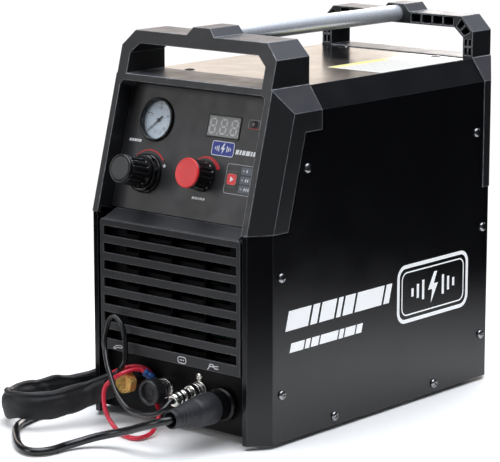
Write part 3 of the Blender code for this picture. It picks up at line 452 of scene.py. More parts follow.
def sleeve_cloth():
    """Coated woven cloth: a fine basket weave under a soft, slightly blue sheen."""
    look = Look("sleeve_cloth", (0.0048, 0.0049, 0.0062), 0.55, Sheen_Weight=0.05, Specular_IOR_Level=0.36)
    look.mottle(30, 0.18)
    across = look.waves(520, "DIAGONAL", "BANDS", 0.5)
    up = look.waves(560, "Z", "BANDS", 0.5)
    weave = look.calculate("MULTIPLY", across, up)
    look.tint(look.spread(weave, 0.0, 0.4, 0.1, 0.9), (0.0095, 0.0098, 0.012))
    return look.patchy_gloss(60, 0.10).bump(weave, 0.05, 0.5).grain(170, 0.30)


def clear_glass():
    look = Look("clear_glass", (0.95, 0.97, 0.98), 0.03, Transmission_Weight=1.0, IOR=1.25)
    look.patchy_gloss(300, 0.02)
    clear = look.add("ShaderNodeBsdfTransparent")
    look.feed((0.97, 0.985, 0.99, 1.0), clear.inputs["Color"])
    look.blend_shaders(0.22, clear, look.shader, look.tree.nodes["Material Output"])
    return look


# ---------------------------------------------------------------- looks of metal

def galvanised():
    """Zinc with its crystal patches."""
    look = Look("galvanised", (0.46, 0.47, 0.49), 0.38, 1.0)
    cells = look.pattern("ShaderNodeTexVoronoi", Scale=110)
    look.tint(look.spread(cells["Distance"], 0.0, 0.5), (0.32, 0.33, 0.35))
    return look.patchy_gloss(180, 0.12).grain(900, 0.01, 0.4)


def anodised():
    """Drawn aluminium, with faint lines along its length."""
    look = Look("anodised", (0.78, 0.81, 0.87), 0.30, 0.55)
    lines = look.noise(60, 4.0, (90, 1.2, 90))
    look.tint(look.spread(lines, 0.0, 0.35), (0.66, 0.69, 0.75))
    return look.patchy_gloss(40, 0.06, (60, 1, 60)).bump(lines, 0.006, 0.5)


def bright_metal(name, color, roughness, metallic=1.0):
    look = Look(name, color, roughness, metallic)
    look.mottle(260, 0.10).patchy_gloss(420, roughness * (0.5 if metallic == 1.0 else 0.2))
    return look.grain(700, 0.004, 0.6, 3.0, (1, 1, 12))


def copper_wire():
    look = Look("copper_wire", (0.70, 0.30, 0.14), 0.30, 0.9)
    turns = look.waves(300, "Z")
    look.tint(look.spread(turns, 0.0, 0.7, 0.1, 0.6), (0.28, 0.10, 0.05))
    return look.bump(turns, 0.4, 0.8).patchy_gloss(200, 0.08)


# ---------------------------------------------------------------- looks of print, lamps and boards

def glow(look, color, strength):
    look.set("Emission Color", (*color, 1.0))
    return look.set("Emission Strength", strength)


def printed(name, color, roughness=0.45, lift=0.0):
    """Screen-printed ink with small voids; lift is an emission strength, a painted glow that brightens the
    print beyond its light.
    """
    look = glow(Look(name, color, roughness), color, lift)
    faded = tuple(c * 0.72 for c in color)
    look.tint(look.spread(look.noise(900, 4.0), 0.0, 0.6, 0.55, 0.75), faded)
    return look.patchy_gloss(400, 0.08).grain(1800, 0.01)


def smoked_lamp():
    color = (0.115, 0.090, 0.090)
    return glow(Look("lamp_smoked", color, 0.15), color, 0.0).mottle(200, 0.10).patchy_gloss(400, 0.05)


def circuit_board():
    look = Look("circuit_board", (0.012, 0.115, 0.050), 0.32)
    tracks = look.pattern("ShaderNodeTexBrick", Scale=90, Mortar_Size=0.03)
    look.tint(look.spread(tracks["Fac"], 0.0, 0.7), (0.05, 0.26, 0.12))
    return look.patchy_gloss(150, 0.08).grain(700, 0.02, 0.4)


def studio_floor():
    """Pale matt floor that fades into the backdrop away from the machine."""
    look = Look("studio_floor", (0.93, 0.92, 0.90), 0.75, Specular_IOR_Level=0.2)
    look.mottle(2.0, 0.01).grain(260, 0.02, 0.3)
    centre = look.add("ShaderNodeVectorMath", operation="LENGTH")
    look.feed(look.place, centre.inputs[0])
    fade = look.spread(centre.outputs["Value"], 0.0, 1.0, FLOOR_SOLID, FLOOR_RADIUS)
    clear = look.add("ShaderNodeBsdfTransparent")
    look.blend_shaders(fade, look.shader, clear, look.tree.nodes["Material Output"])
    return look


LOOKS = {
    "plastic": moulded_plastic(),
    "grille": grille_plastic(),
    "paint": powder_coat(),
    "panel": panel_film("panel_film", (0.022, 0.022, 0.0235), 0.46),
    # The connector panel's paint reflects much less than the case paint: painted shade for the recess.
    "recess": panel_film("recessed_paint", (0.004, 0.004, 0.0046), 0.15),
    "film_grey": panel_film("film_grey", (0.060, 0.062, 0.060)),
    "film_blue": panel_film("film_blue", (0.085, 0.095, 0.120)),
    "nut_black": turned_grey("knurled_black", (0.024, 0.024, 0.026), (0.017, 0.017, 0.018), 0.30),
    "grey_face": turned_grey("turned_grey", (0.050, 0.050, 0.053), (0.026, 0.026, 0.028)),
    "gloss": gloss_black(),
    "satin": satin_black(),
    "red": red_plastic(),
    "rubber": black_rubber(),
    "cable": cable_jacket(),
    "wire": red_wire(),
    "cloth": sleeve_cloth(),
    "glass": clear_glass(),
    "zinc": galvanised(),
    "tube": anodised(),
    "copper": copper_wire(),
    "nickel": bright_metal("bright_nickel", (0.80, 0.78, 0.73), 0.14),
    "steel": bright_metal("machined_steel", (0.55, 0.55, 0.56), 0.28),
    "black_steel": bright_metal("black_oxide", (0.30, 0.30, 0.31), 0.16),
    "brass": bright_metal("machined_brass", (0.86, 0.56, 0.17), 0.30, 0.65),
    "label": printed("label_paper", (0.52, 0.51, 0.48), 0.55),
    "thread": printed("hem_thread", (0.075, 0.078, 0.088), 0.60),
    "white_ink": printed("white_ink", (0.78, 0.79, 0.80)),
    "grey_ink": printed("grey_ink", (0.42, 0.43, 0.45)),
    "dark_ink": printed("dark_ink", (0.12, 0.12, 0.125)),
    "black_ink": printed("black_ink", (0.006, 0.006, 0.007)),
    "red_ink": printed("red_ink", (0.50, 0.018, 0.022)),
    "blue_ink": printed("blue_ink", (0.020, 0.036, 0.260)),
    "yellow_ink": printed("yellow_ink", (0.55, 0.50, 0.10)),
    # The decal glows a little: painted light on the side print.
    "decal": printed("white_decal", (0.86, 0.87, 0.88), 0.4, 0.30),
    "dial": printed("dial_white", (0.72, 0.78, 0.86), 0.35),
    "display": printed("display_grey", (0.20, 0.205, 0.205), 0.25),
    "segment": printed("segment_white", (0.46, 0.47, 0.45), 0.25),
    "crimp": printed("crimp_blue", (0.020, 0.075, 0.250), 0.22),
    "lamp": smoked_lamp(),
    "board": circuit_board(),
}


# ---------------------------------------------------------------- pieces

def as_mesh(name, solid):
    """Turn a bmesh into a mesh, and free it."""
    mesh = bpy.data.meshes.new(name)
    solid.to_mesh(mesh)
    solid.free()
    return mesh


def merge(solid, other):
    """Add another bmesh to this one, and free the other."""
    mesh = as_mesh("merged", other)
    solid.from_mesh(mesh)
    bpy.data.meshes.remove(mesh)


def cover(mesh, look):
    mesh.materials.clear()
    mesh.materials.append(LOOKS[look].material)


def smooth(mesh, degrees=35.0):
    mesh.shade_smooth()
    mesh.set_sharp_from_angle(angle=math.radians(degrees))


def add_object(name, data, place=None):
    item = bpy.data.objects.new(name, data)
    bpy.context.scene.collection.objects.link(item)
    if place is not None:
        item.matrix_world = place
    return item


def evaluated(item):
    return item.evaluated_get(bpy.context.evaluated_depsgraph_get())


def add_ready(name, mesh, place, node=None, body="case"):
    """Place a finished mesh as a piece that rides on a body and stands for a CAD node, if one is named."""
    piece = add_object(name, mesh, place)
    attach(piece, body)
    if node:
        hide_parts(node)
    return piece


def add_piece(name, solid, look, place=None, node=None, body="case", degrees=35.0):
    """Make a piece from a bmesh, shaded smooth up to an angle, in one look."""
    mesh = as_mesh(name, solid)
    cover(mesh, look)
    smooth(mesh, degrees)
    return add_ready(name, mesh, place, node, body)


def paint(node, look, bevel=0.0):
    """Show a CAD node as it is, with a proper material and, where asked, rounded edges."""
    item = NODES[node]
    cover(item.data, look)
    if not bevel:
        return
    weld = item.modifiers.new("weld", "WELD")
    weld.merge_threshold = 0.00001
    flat = item.modifiers.new("flat", "DECIMATE")
    flat.decimate_type = "DISSOLVE"
    flat.angle_limit = math.radians(0.6)
    rounding = item.modifiers.new("rounding", "BEVEL")
    rounding.width = bevel * MM
    rounding.segments = 2
    rounding.limit_method = "ANGLE"
    rounding.angle_limit = math.radians(28)
    rounding.harden_normals = True


# ---------------------------------------------------------------- profiles and solids

def fillet(points, steps=4):
    """Round a profile's corners. Each point is (r, z) or (r, z, radius) or (r, z, radius, flute)."""
    rows = []
    for i, point in enumerate(points):
        radius = point[2] if len(point) > 2 else 0.0
        flute = point[3] if len(point) > 3 else 0
        here = Vector(point[:2])
        if radius <= 0 or i in (0, len(points) - 1):
            rows.append((here.x, here.y, flute))
            continue
        before = Vector(points[i - 1][:2]) - here
        after = Vector(points[i + 1][:2]) - here
        reach = min(radius, before.length * 0.49, after.length * 0.49)
        start = here + before.normalized() * reach
        end = here + after.normalized() * reach
        for k in range(steps + 1):
            t = k / steps
            spot = start * (1 - t) ** 2 + here * 2 * t * (1 - t) + end * t ** 2
            rows.append((spot.x, spot.y, flute))
    return rows


def turned(profile, segments=72, flutes=0, depth=0.0, closed=False, steps=4, square=False):
    """A solid of revolution round local z, in metres, from a filleted profile in millimetres."""
    solid = bmesh.new()
    rings = []
    for radius, height, fluted in fillet(profile, steps):
        if radius == 0:
            rings.append([solid.verts.new((0, 0, height * MM))])
            continue
        ring = []
        for i in range(segments):
            angle = math.tau * i / segments
            wave = 0.5 + 0.5 * math.cos(flutes * angle)
            wave = (1.0 if wave > 0.62 else 0.0) if square else wave ** 3
            r = (radius - (depth * wave if fluted and flutes else 0.0)) * MM
            ring.append(solid.verts.new((r * math.cos(angle), r * math.sin(angle), height * MM)))
        rings.append(ring)
    pairs = list(zip(rings, rings[1:])) + ([(rings[-1], rings[0])] if closed else [])
    for one, two in pairs:
        for i in range(segments):
            j = (i + 1) % segments
            corners = [one[i % len(one)], one[j % len(one)], two[j % len(two)], two[i % len(two)]]
            unique = list(dict.fromkeys(corners))
            if len(unique) > 2:
                solid.faces.new(unique)
    bmesh.ops.recalc_face_normals(solid, faces=solid.faces)
    return solid


def plate(outline, low=PRINT_LOW, high=PRINT_HIGH, solid=None):
    """An outline in local x and y, in millimetres, extruded from low to high."""
    solid = solid or bmesh.new()
    under = [solid.verts.new((x * MM, y * MM, low * MM)) for x, y in outline]
    over = [solid.verts.new((x * MM, y * MM, high * MM)) for x, y in outline]
    solid.faces.new(list(reversed(under)))
    solid.faces.new(over)
    for i in range(len(outline)):
        j = (i + 1) % len(outline)
        solid.faces.new((under[i], under[j], over[j], over[i]))
    return solid


def outline_strip(points, width, low=PRINT_LOW, high=PRINT_HIGH, closed=True, solid=None):
    """A line of some width along points, as printed or raised trim."""
    solid = solid or bmesh.new()
    count = len(points)
    sides = []
    for i, point in enumerate(points):
        before = Vector(points[i - 1]) if closed or i > 0 else None
        after = Vector(points[(i + 1) % count]) if closed or i < count - 1 else None
        here = Vector(point)
        one = (here - before).normalized() if before is not None else (after - here).normalized()
        two = (after - here).normalized() if after is not None else one
        across = Vector((-(one.y + two.y), one.x + two.x))
        across = across.normalized() / max(0.4, across.length / 2) * width / 2
        sides.append((here - across, here + across))
    rows = [[solid.verts.new((p.x * MM, p.y * MM, z * MM)) for p, z in
             ((a, low), (b, low), (b, high), (a, high))] for a, b in sides]
    last = count if closed else count - 1
    for i in range(last):
        one, two = rows[i], rows[(i + 1) % count]
        for k in range(4):
            m = (k + 1) % 4
            solid.faces.new((one[k], one[m], two[m], two[k]))
    if not closed:
        solid.faces.new(rows[0])
        solid.faces.new(list(reversed(rows[-1])))
    bmesh.ops.recalc_face_normals(solid, faces=solid.faces)
    return solid


def rectangle(x0, y0, x1, y1):
    return [(x0, y0), (x1, y0), (x1, y1), (x0, y1)]


def circle(x, y, radius, sides):
    return [(x + radius * math.cos(math.tau * k / sides), y + radius * math.sin(math.tau * k / sides))
            for k in range(sides)]


def rounded_box(half_x, half_y, radius, centre=(0.0, 0.0), steps=5):
    """A rectangle's outline with round corners."""
    points = []
    for k, (sx, sy) in enumerate(((1, 1), (-1, 1), (-1, -1), (1, -1))):
        for i in range(steps + 1):
            angle = math.pi / 2 * (k + i / steps)
            points.append((centre[0] + sx * (half_x - radius) + radius * math.cos(angle),
                           centre[1] + sy * (half_y - radius) + radius * math.sin(angle)))
    return points


def arc(x, y, radius, start, end, steps=24):
    """Points along an arc from one angle to another, in degrees."""
    angles = [math.radians(start + (end - start) * i / steps) for i in range(steps + 1)]
    return [(x + radius * math.cos(a), y + radius * math.sin(a)) for a in angles]


def skin(solid, rings):
    """Faces from each ring of points to the next."""
    for one, two in zip(rings, rings[1:]):
        for i in range(len(one)):
            j = (i + 1) % len(one)
            solid.faces.new((one[i], one[j], two[j], two[i]))


def smooth_path(points, steps=10):
    """A Catmull-Rom curve through case points, in metres."""
    knots = [case(*p) for p in points]
    knots = [2 * knots[0] - knots[1]] + knots + [2 * knots[-1] - knots[-2]]
    path = []
    for i in range(1, len(knots) - 2):
        a, b, c, d = knots[i - 1:i + 3]
        for k in range(steps):
            t = k / steps
            path.append(0.5 * (2 * b + (c - a) * t + (2 * a - 5 * b + 4 * c - d) * t * t
                               + (3 * b - a - 3 * c + d) * t ** 3))
    path.append(knots[-2])
    return path


def hose(path, radius, sides=20):
    """A round cable along a path in metres, with closed ends."""
    solid = bmesh.new()
    last = len(path) - 1
    across = (path[1] - path[0]).normalized().orthogonal().normalized()
    rings = []
    for i, point in enumerate(path):
        ahead = (path[min(i + 1, last)] - path[max(i - 1, 0)]).normalized()
        across = (across - ahead * across.dot(ahead)).normalized()
        up = across.cross(ahead)
        rings.append([solid.verts.new(point + (across * x + up * y) * radius * MM)
                      for x, y in circle(0, 0, 1, sides)])
    skin(solid, rings)
    for ring, point in ((rings[0], path[0]), (rings[-1], path[-1])):
        tip = solid.verts.new(point)
        for k in range(sides):
            solid.faces.new((ring[k], ring[(k + 1) % sides], tip))
    bmesh.ops.recalc_face_normals(solid, faces=solid.faces)
    return solid


# ---------------------------------------------------------------- casing

def finish_casing():
    for node, look in (("outer_cover", "paint"), ("front_bezel", "plastic"), ("rear_bezel", "plastic"),
                       ("front_grille", "grille"), ("connector_panel", "recess"), ("rear_panel", "paint"),
                       ("control_panel", "panel"), ("base_plate", "zinc")):
        paint(node, look)
    low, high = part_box("handle_tube")
    length = (high.y - low.y) / MM
    radius = (high.x - low.x) / 2 / MM
    tube = turned([(radius - 1.4, 0), (radius, 0, 0.4), (radius, length, 0.4), (radius - 1.4, length)],
                  96, closed=True)
    middle = (low + high) / 2
    place = frame_of(Vector((middle.x, high.y, middle.z)), (0, -1, 0))
    add_piece("handle_tube_finished", tube, "tube", place, "handle_tube")
    for node in ("foot_front_left", "foot_front_right", "foot_rear_left", "foot_rear_right"):
        low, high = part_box(node)
        height = (high.z - low.z) / MM
        r = (high.x - low.x) / 2 / MM
        foot = turned([(0, 0), (r - 3, 0, 0.8), (r - 1, 0.6, 1.0), (r, 2.0, 0.8), (r, height - 4.3, 0.3),
                       (2.4, height - 4.3), (2.4, height, 0.3), (0, height)], 48)
        place = Matrix.Translation(Vector(((low.x + high.x) / 2, (low.y + high.y) / 2, low.z)))
        add_piece(node + "_finished", foot, "rubber", place, node)


def screw_mesh(look, radius=4.3, rise=2.6):
    """A pan head with a real cross recess."""
    head = turned([(0, -1.5), (radius, -1.5), (radius, 0.4, 0.3), (radius * 0.93, rise * 0.55, 0.7),
                   (radius * 0.6, rise * 0.93, 0.8), (0, rise)], 40)
    cross = bmesh.new()
    for turn in (0, math.pi / 2):
        wing = plate(rectangle(-2.7, -0.5, 2.7, 0.5), rise * 0.45, rise + 2)
        wing.transform(Matrix.Rotation(turn, 4, "Z"))
        merge(cross, wing)
    blank = add_object("screw_blank", as_mesh("screw_head", head))
    cutter = add_object("screw_cutter", as_mesh("cross", cross))
    cut = blank.modifiers.new("cross", "BOOLEAN")
    cut.operation = "DIFFERENCE"
    cut.solver = "EXACT"
    cut.use_self = True
    cut.object = cutter
    done = bpy.data.meshes.new_from_object(evaluated(blank))
    for item in (blank, cutter):
        bpy.data.objects.remove(item)
    cover(done, look)
    smooth(done)
    return done


def place_screw(name, mesh, place, node=None):
    """Seat a screw with its cross at a random turn."""
    spin = Matrix.Rotation(random.uniform(0, math.pi / 2), 4, "Z")
    add_ready(name, mesh, place @ spin, node)


def add_screws():
    dark = screw_mesh("black_steel")
    bright = screw_mesh("nickel", 3.9, 1.9)
    flush = screw_mesh("gloss", 4.6, 1.0)
    for row in ("front_upper", "front_middle", "front_lower", "rear_upper", "rear_middle", "rear_lower"):
        node = "cover_screw_" + row
        low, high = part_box(node)
        middle = in_case((low + high) / 2)
        for side, word in SIDES:
            place_screw("screw_{}_{}".format(row, word), dark, on_side(side, middle.y, middle.z, SCREW_GAP),
                        node=node if side == 1 else None)
    for side, word in SIDES:
        for y, spot in ((101.2, "front"), (245.9, "rear")):
            place_screw("screw_base_{}_{}".format(spot, word), dark, on_side(side, y, 7.9, SCREW_GAP))
    for i, (x, y) in enumerate(((-56.6, 91.3), (53.9, 307.4), (-56.6, 307.4))):
        place_screw("screw_deck_{}".format(i + 1), flush, on_deck(x, y))
    place_screw("screw_connector_panel", bright, on_front(24.6, PLATE_Y, 47.8))
    for x in (-84, 84):
        for z in (62, 168):
            word = "left" if x < 0 else "right"
            place_screw("screw_rear_{}_{}".format(word, z), dark, on_rear(x, REAR_Y, z))


# ---------------------------------------------------------------- controls

def add_gauge():
    place = joint_frame("gauge_needle_turn")
    rim = turned([(0, -22), (19.3, -22, 0.6), (19.3, 2.2, 0.7), (18.5, 2.8, 0.5), (17.3, 2.3, 0.4),
                  (17.0, -3.9, 0.2), (3, -3.9), (3, -10), (0, -10)], 96)
    add_piece("gauge_rim", rim, "gloss", place, "gauge_case")
    face = turned([(1.2, -3.7), (16.8, -3.7), (16.8, DIAL_FACE, 0.2), (1.2, DIAL_FACE)], 72, closed=True)
    add_piece("gauge_face", face, "dial", place, "gauge_dial")
    add_dial_print(place)
    add_needle(place)
    glass = turned([(0, 0.3), (16.9, 0.2), (16.9, 1.0, 0.2), (10, 1.5), (0, 1.7)], 72)
    add_piece("gauge_glass", glass, "glass", place, "gauge_lens")


def add_digits(name, word, size, place):
    """Numbers of a scale, as thin raised print."""
    curve = bpy.data.curves.new(name, "FONT")
    curve.body = word
    curve.size = size * MM
    curve.align_x = "CENTER"
    curve.extrude = 0.03 * MM
    text = add_object(name, curve)
    mesh = bpy.data.meshes.new_from_object(evaluated(text))
    bpy.data.objects.remove(text)
    cover(mesh, "black_ink")
    add_ready(name, mesh, place)


def dial_angle(part):
    """The angle on the dial from the scale's low end at 0 to its high end at 1."""
    return math.radians(DIAL_START - DIAL_SWEEP * part)


def add_dial_print(place):
    low, high = DIAL_FACE, DIAL_FACE + 0.07
    marks = bmesh.new()
    for i in range(41):
        long = i % 10 == 0
        inner = 12.6 if long else (13.6 if i % 5 == 0 else 14.4)
        half = 0.45 if long else 0.20
        angle = dial_angle(i / 40)
        across = Vector((-math.sin(angle), math.cos(angle))) * half
        along = Vector((math.cos(angle), math.sin(angle)))
        corners = [along * inner - across, along * 15.6 - across, along * 15.6 + across,
                   along * inner + across]
        plate([tuple(c) for c in corners], low, high, marks)
    outline_strip(arc(0, 0, 12.0, -45, 225, 60), 0.18, low, high, False, marks)
    for x in (-2.6, 3.2):
        outline_strip(arc(x, -10.2, 1.5, 0, 345, 20), 0.25, low, high, True, marks)
    add_piece("gauge_scale", marks, "black_ink", place)
    red = outline_strip(arc(0, 0, 14.9, -45, 20, 24), 0.7, low, low + 0.05, False)
    add_piece("gauge_red_band", red, "red_ink", place)
    for i, word in enumerate(("0", "2", "4", "6", "8")):
        angle = dial_angle(i / 4)
        spot = shifted(10.2 * math.cos(angle), 10.2 * math.sin(angle) - 1.1, DIAL_FACE + 0.05)
        add_digits("gauge_number_" + word, word, 4.2, place @ spot)


def add_needle(place):
    needle = turned([(0, -8), (0.8, -8), (0.8, -2.6), (1.7, -2.6, 0.2), (1.7, -1.5, 0.4), (0, -1.3)], 32)
    pointer = [(-0.8, -5.2), (0.8, -5.2), (0.5, 0.0), (0.2, 13.6), (-0.2, 13.6), (-0.5, 0.0)]
    turn = Matrix.Rotation(math.radians(NEEDLE_AT_REST), 2)
    plate([tuple(turn @ Vector(point)) for point in pointer], -2.4, -1.9, needle)
    add_piece("gauge_pointer", needle, "satin", place, "gauge_needle", body="gauge_needle")


def add_regulator():
    place = joint_frame("regulator_turn")
    ring = turned([(5, 0.3), (17.4, 0.3, 0.3), (17.4, 2.6, 0.5), (16.4, 3.2, 0, 1), (16.4, 7.0, 0, 1),
                   (15.4, 7.6, 0.3), (11, 7.6, 0.6), (10.6, 6.6), (5, 6.6)], 192, 8, 1.7, True, square=True)
    add_piece("regulator_lock_ring", ring, "gloss", place, "regulator_ring")
    paint("regulator_spindle", "brass")
    grip = turned([(0, 34.4), (10.4, 34.4, 0.2), (10.7, 35.0, 0.2), (11.7, 35.2, 0.5), (12.5, 34.3, 0.5),
                   (12.5, 32.2, 0.5), (11.6, 31.6, 0.3), (11.6, 30.9, 0.3), (12.7, 30.3, 0, 1),
                   (13.0, 29.2, 0, 1), (13.2, 13.0, 0, 1), (13.6, 11.6, 0.4), (14.2, 10.5, 0.5),
                   (14.2, 8.3, 0.4), (4.5, 8.2), (4.5, 30), (0, 30)], 180, 15, 1.0)
    add_piece("regulator_grip", grip, "gloss", place, "regulator_knob", body="regulator_knob")
    disc = turned([(0, 34.5), (10.2, 34.5), (10.2, 34.9, 0.2), (9.2, 35.1, 0.2), (0, 35.15)], 72)
    add_piece("regulator_grip_disc", disc, "grey_face", place, body="regulator_knob")


def add_current_control():
    place = joint_frame("current_turn")
    paint("current_shaft", "steel")
    paint("current_pot", "nickel")
    knob = turned([(0, 19.7), (12.5, 19.7, 0.4), (12.9, 19.2, 0.3), (12.9, 18.2, 0.4), (12.5, 17.2, 0, 1),
                   (12.9, 3.4, 0, 1), (13.6, 2.2, 0.3), (13.6, 0.8, 0.4), (3.3, 0.7), (3.3, 16.5),
                   (0, 16.5)], 180, 15, 0.9)
    add_piece("current_grip", knob, "gloss", place, "current_knob", body="current_knob")
    cap = turned([(0, 20.0), (12.7, 20.0), (13.0, 20.3, 0.2), (13.0, 21.4, 0.5), (12.2, 22.1, 0.4),
                  (11.6, 21.9, 0.2), (0, 22.0)], 96)
    add_piece("current_cap", cap, "red", place, "current_knob_cap", body="current_knob")


def segment_bars(centre_x, width, height, thick, solid, low, high):
    """The seven bars of one digit, slanted as on a real block."""
    lean = 0.10
    half_w, half_h = width / 2, height / 2
    gap = thick * 0.28

    def bar(x0, y0, x1, y1):
        one, two = Vector((x0, y0)), Vector((x1, y1))
        ahead = (two - one).normalized()
        side = Vector((-ahead.y, ahead.x)) * thick / 2
        one, two = one + ahead * gap, two - ahead * gap
        nose = ahead * thick / 2
        ring = [one, one + nose - side, two - nose - side, two, two - nose + side, one + nose + side]
        plate([(centre_x + p.x + p.y * lean, p.y) for p in ring], low, high, solid)

    for y in (-half_h, 0, half_h):
        bar(-half_w, y, half_w, y)
    for x in (-half_w, half_w):
        bar(x, -half_h, x, 0)
        bar(x, 0, x, half_h)


def add_display():
    place = panel_at("display_module")
    low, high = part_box("display_module")
    half_x = (high.x - low.x) / 2 / MM
    half_y = DISPLAY_HALF_HEIGHT
    frame_shape = outline_strip(rounded_box(half_x - 0.45, half_y - 0.45, 0.5), 0.9, -9.0, 0.8)
    add_piece("display_frame", frame_shape, "satin", place, "display_module")
    face = plate(rounded_box(half_x - 0.8, half_y - 0.8, 0.4), -9.0, 0.35)
    add_piece("display_face", face, "display", place)
    bars = bmesh.new()
    for x in (-12.0, 0.0, 12.0):
        segment_bars(x - 0.4, 6.2, 12.2, 1.7, bars, 0.35, 0.42)
        plate(circle(x + 5.0, -6.6, 0.7, 12), 0.35, 0.42, bars)
    add_piece("display_segments", bars, "segment", place)


def printed_bars(name, place, widths, height, look, lean, gap):
    """A row of slanted bars standing where a caption or a name would be."""
    solid = bmesh.new()
    x = -(sum(widths) + gap * (len(widths) - 1)) / 2
    for width in widths:
        corners = rectangle(x, -height / 2, x + width, height / 2)
        plate([(a + b * lean, b) for a, b in corners], solid=solid)
        x += width + gap
    add_piece(name, solid, look, place)


def fading_bars(solid, first, step, half_width, half_height, shrink, low, high):
    """Three upright bars on either side of a sign, each shorter than the last."""
    for side in (-1, 1):
        for k in range(3):
            x = side * (first + step * k)
            half = half_height - shrink * k
            plate(rectangle(x - half_width, -half, x + half_width, half), low, high, solid)


def bolt(size):
    return [(x * size, y * size) for x, y in BOLT]


def add_captions():
    arcs = (("pressure_arc", "regulator_turn", arc(0, 0, 20.4, 141, 38, 30), 1.7),
            ("current_arc", "current_turn", arc(0, 0, 15.6, 131, 25, 30), 3.8))
    for name, joint, path, end in arcs:
        add_piece(name, swelling_strip(path, 0.5, end), "red_ink", joint_frame(joint))
    cross = plate(rectangle(-1.7, -0.45, 1.7, 0.45))
    plate(rectangle(-0.45, -1.7, 0.45, 1.7), PRINT_LOW, PRINT_HIGH + 0.01, cross)
    add_piece("pressure_plus", cross, "white_ink", on_panel(-31.0, 222.9))
    printed_bars("pressure_caption", on_panel(-69.7, 241.2), (2.4, 2.0, 2.6, 1.8, 2.4), 2.4, "white_ink",
                 0.2, 0.7)
    printed_bars("current_caption", on_panel(13.7, 200.5), (2.4, 2.6, 1.8, 2.6, 2.2), 2.2, "white_ink",
                 0.2, 0.7)


def add_badge():
    badge = on_panel(32.0, 243.8)
    low, high = 0.5, 0.58
    add_piece("badge_plate", plate(rounded_box(12.6, 6.4, 2.2), PRINT_LOW, low), "blue_ink", badge)
    edge = outline_strip(rounded_box(12.2, 6.0, 2.0), 0.6, low, high)
    add_piece("badge_edge", edge, "white_ink", badge)
    mark = plate(bolt(4.6), low, high)
    fading_bars(mark, 4.6, 1.9, 0.45, 2.6, 0.7, low, high)
    add_piece("badge_mark", mark, "white_ink", badge)
    printed_bars("badge_stripes", on_panel(57.6, 242.8), (3.4, 2.0, 3.0, 4.4, 1.6, 3.2), 4.0, "white_ink",
                 0.2, 1.0)


def add_mode_key():
    key = panel_at("mode_button")
    surround = outline_strip(rounded_box(6.9, 6.6, 1.8), 1.2, PRINT_LOW, 0.5)
    add_piece("key_surround", surround, "film_grey", key)
    button = plate(rounded_box(6.0, 5.5, 1.6), -7.0, 1.1)
    add_piece("mode_key", button, "film_grey", key, "mode_button", body="mode_button")
    face = plate(rounded_box(4.9, 4.6, 1.8), 1.1, 1.25)
    add_piece("mode_key_face", face, "red", key, body="mode_button")
    triangle = plate([(-1.4, -2.3), (2.3, 0.0), (-1.4, 2.3)], 1.25, 1.40)
    add_piece("mode_key_mark", triangle, "white_ink", key, body="mode_button")


def add_key_windows():
    """Three small windows beside the key, each with a light and one to three strokes."""
    outline = outline_strip(rounded_box(15.0, 12.6, 2.4), 0.45, PRINT_LOW, 0.12)
    add_piece("key_outline", outline, "grey_ink", on_panel(55.0, 220.6))
    for i, z in enumerate((228.2, 220.7, 213.3)):
        row = on_panel(63.4, z)
        number = str(i + 1)
        window = plate(rounded_box(7.3, 3.2, 0.8), PRINT_LOW, DECAL_HIGH)
        add_piece("key_window_" + number, window, "film_blue", row)
        sign = bmesh.new()
        for k in range(i + 1):
            x = -1.0 + 2.2 * k
            plate([(x - 0.5, -1.2), (x + 0.5, -1.2), (x + 0.8, 1.2), (x - 0.2, 1.2)], DECAL_HIGH, 0.2, sign)
        add_piece("key_window_sign_" + number, sign, "white_ink", row)
        light = plate(circle(-4.6, 0, 0.8, 16), DECAL_HIGH, 0.3)
        add_piece("key_window_light_" + number, light, "grey_ink", row)


def add_lamp():
    lamp = panel_at("power_indicator")
    add_piece("lamp_outline", outline_strip(rounded_box(6.2, 3.7, 0.9), 0.35), "grey_ink", lamp)
    add_piece("lamp_line", plate(rectangle(-6.0, -3.9, 6.0, -3.4), 0.03, DECAL_HIGH), "red_ink", lamp)
    dome = turned([(0, -6), (2.5, -6), (2.5, 0.4), (2.3, 1.2, 0.5), (1.5, 1.9, 0.5), (0, 2.0)], 40)
    add_piece("lamp_dome", dome, "lamp", lamp, "power_indicator")
    collar = turned([(2.6, 0.02), (3.2, 0.02), (3.2, 0.5, 0.2), (2.6, 0.6)], 40, closed=True)
    add_piece("lamp_collar", collar, "satin", lamp)


def swelling_strip(points, start, end):
    """A filled strip beside a line of points, growing from one width to another."""
    last = len(points) - 1
    inner, outer = [], []
    for i, point in enumerate(points):
        here = Vector(point)
        along = Vector(points[min(i + 1, last)]) - Vector(points[max(i - 1, 0)])
        side = Vector((-along.y, along.x)).normalized()
        width = start + (end - start) * i / last
        inner.append(tuple(here))
        outer.append(tuple(here + side * width))
    solid = plate(inner + outer[::-1], PRINT_LOW, 0.12)
    bmesh.ops.recalc_face_normals(solid, faces=solid.faces)
    return solid


# ---------------------------------------------------------------- casing print

def add_side_print(side, word):
    """Stripes and a framed sign on one side sheet."""
    printed_bars("side_stripes_" + word, on_side(side, 108, 104), (30, 9, 20, 6, 14, 38, 8), 17, "decal",
                 0.28, 3.0)
    printed_bars("side_small_stripes_" + word, on_side(side, 90, 80), (18, 6, 10, 24, 6, 14, 8), 8, "decal",
                 0.28, 2.0)
    seal = on_side(side, 243, 99)
    ring = outline_strip(rounded_box(52, 25, 10, steps=8), 3.4, PRINT_LOW, DECAL_HIGH)
    outline_strip(rounded_box(46.5, 19.5, 7, steps=8), 1.2, PRINT_LOW, DECAL_HIGH, solid=ring)
    add_piece("side_frame_" + word, ring, "decal", seal)
    mark = plate(bolt(14), PRINT_LOW, DECAL_HIGH)
    fading_bars(mark, 15, 8, 1.6, 9, 2.6, PRINT_LOW, DECAL_HIGH)
    add_piece("side_mark_" + word, mark, "decal", seal)


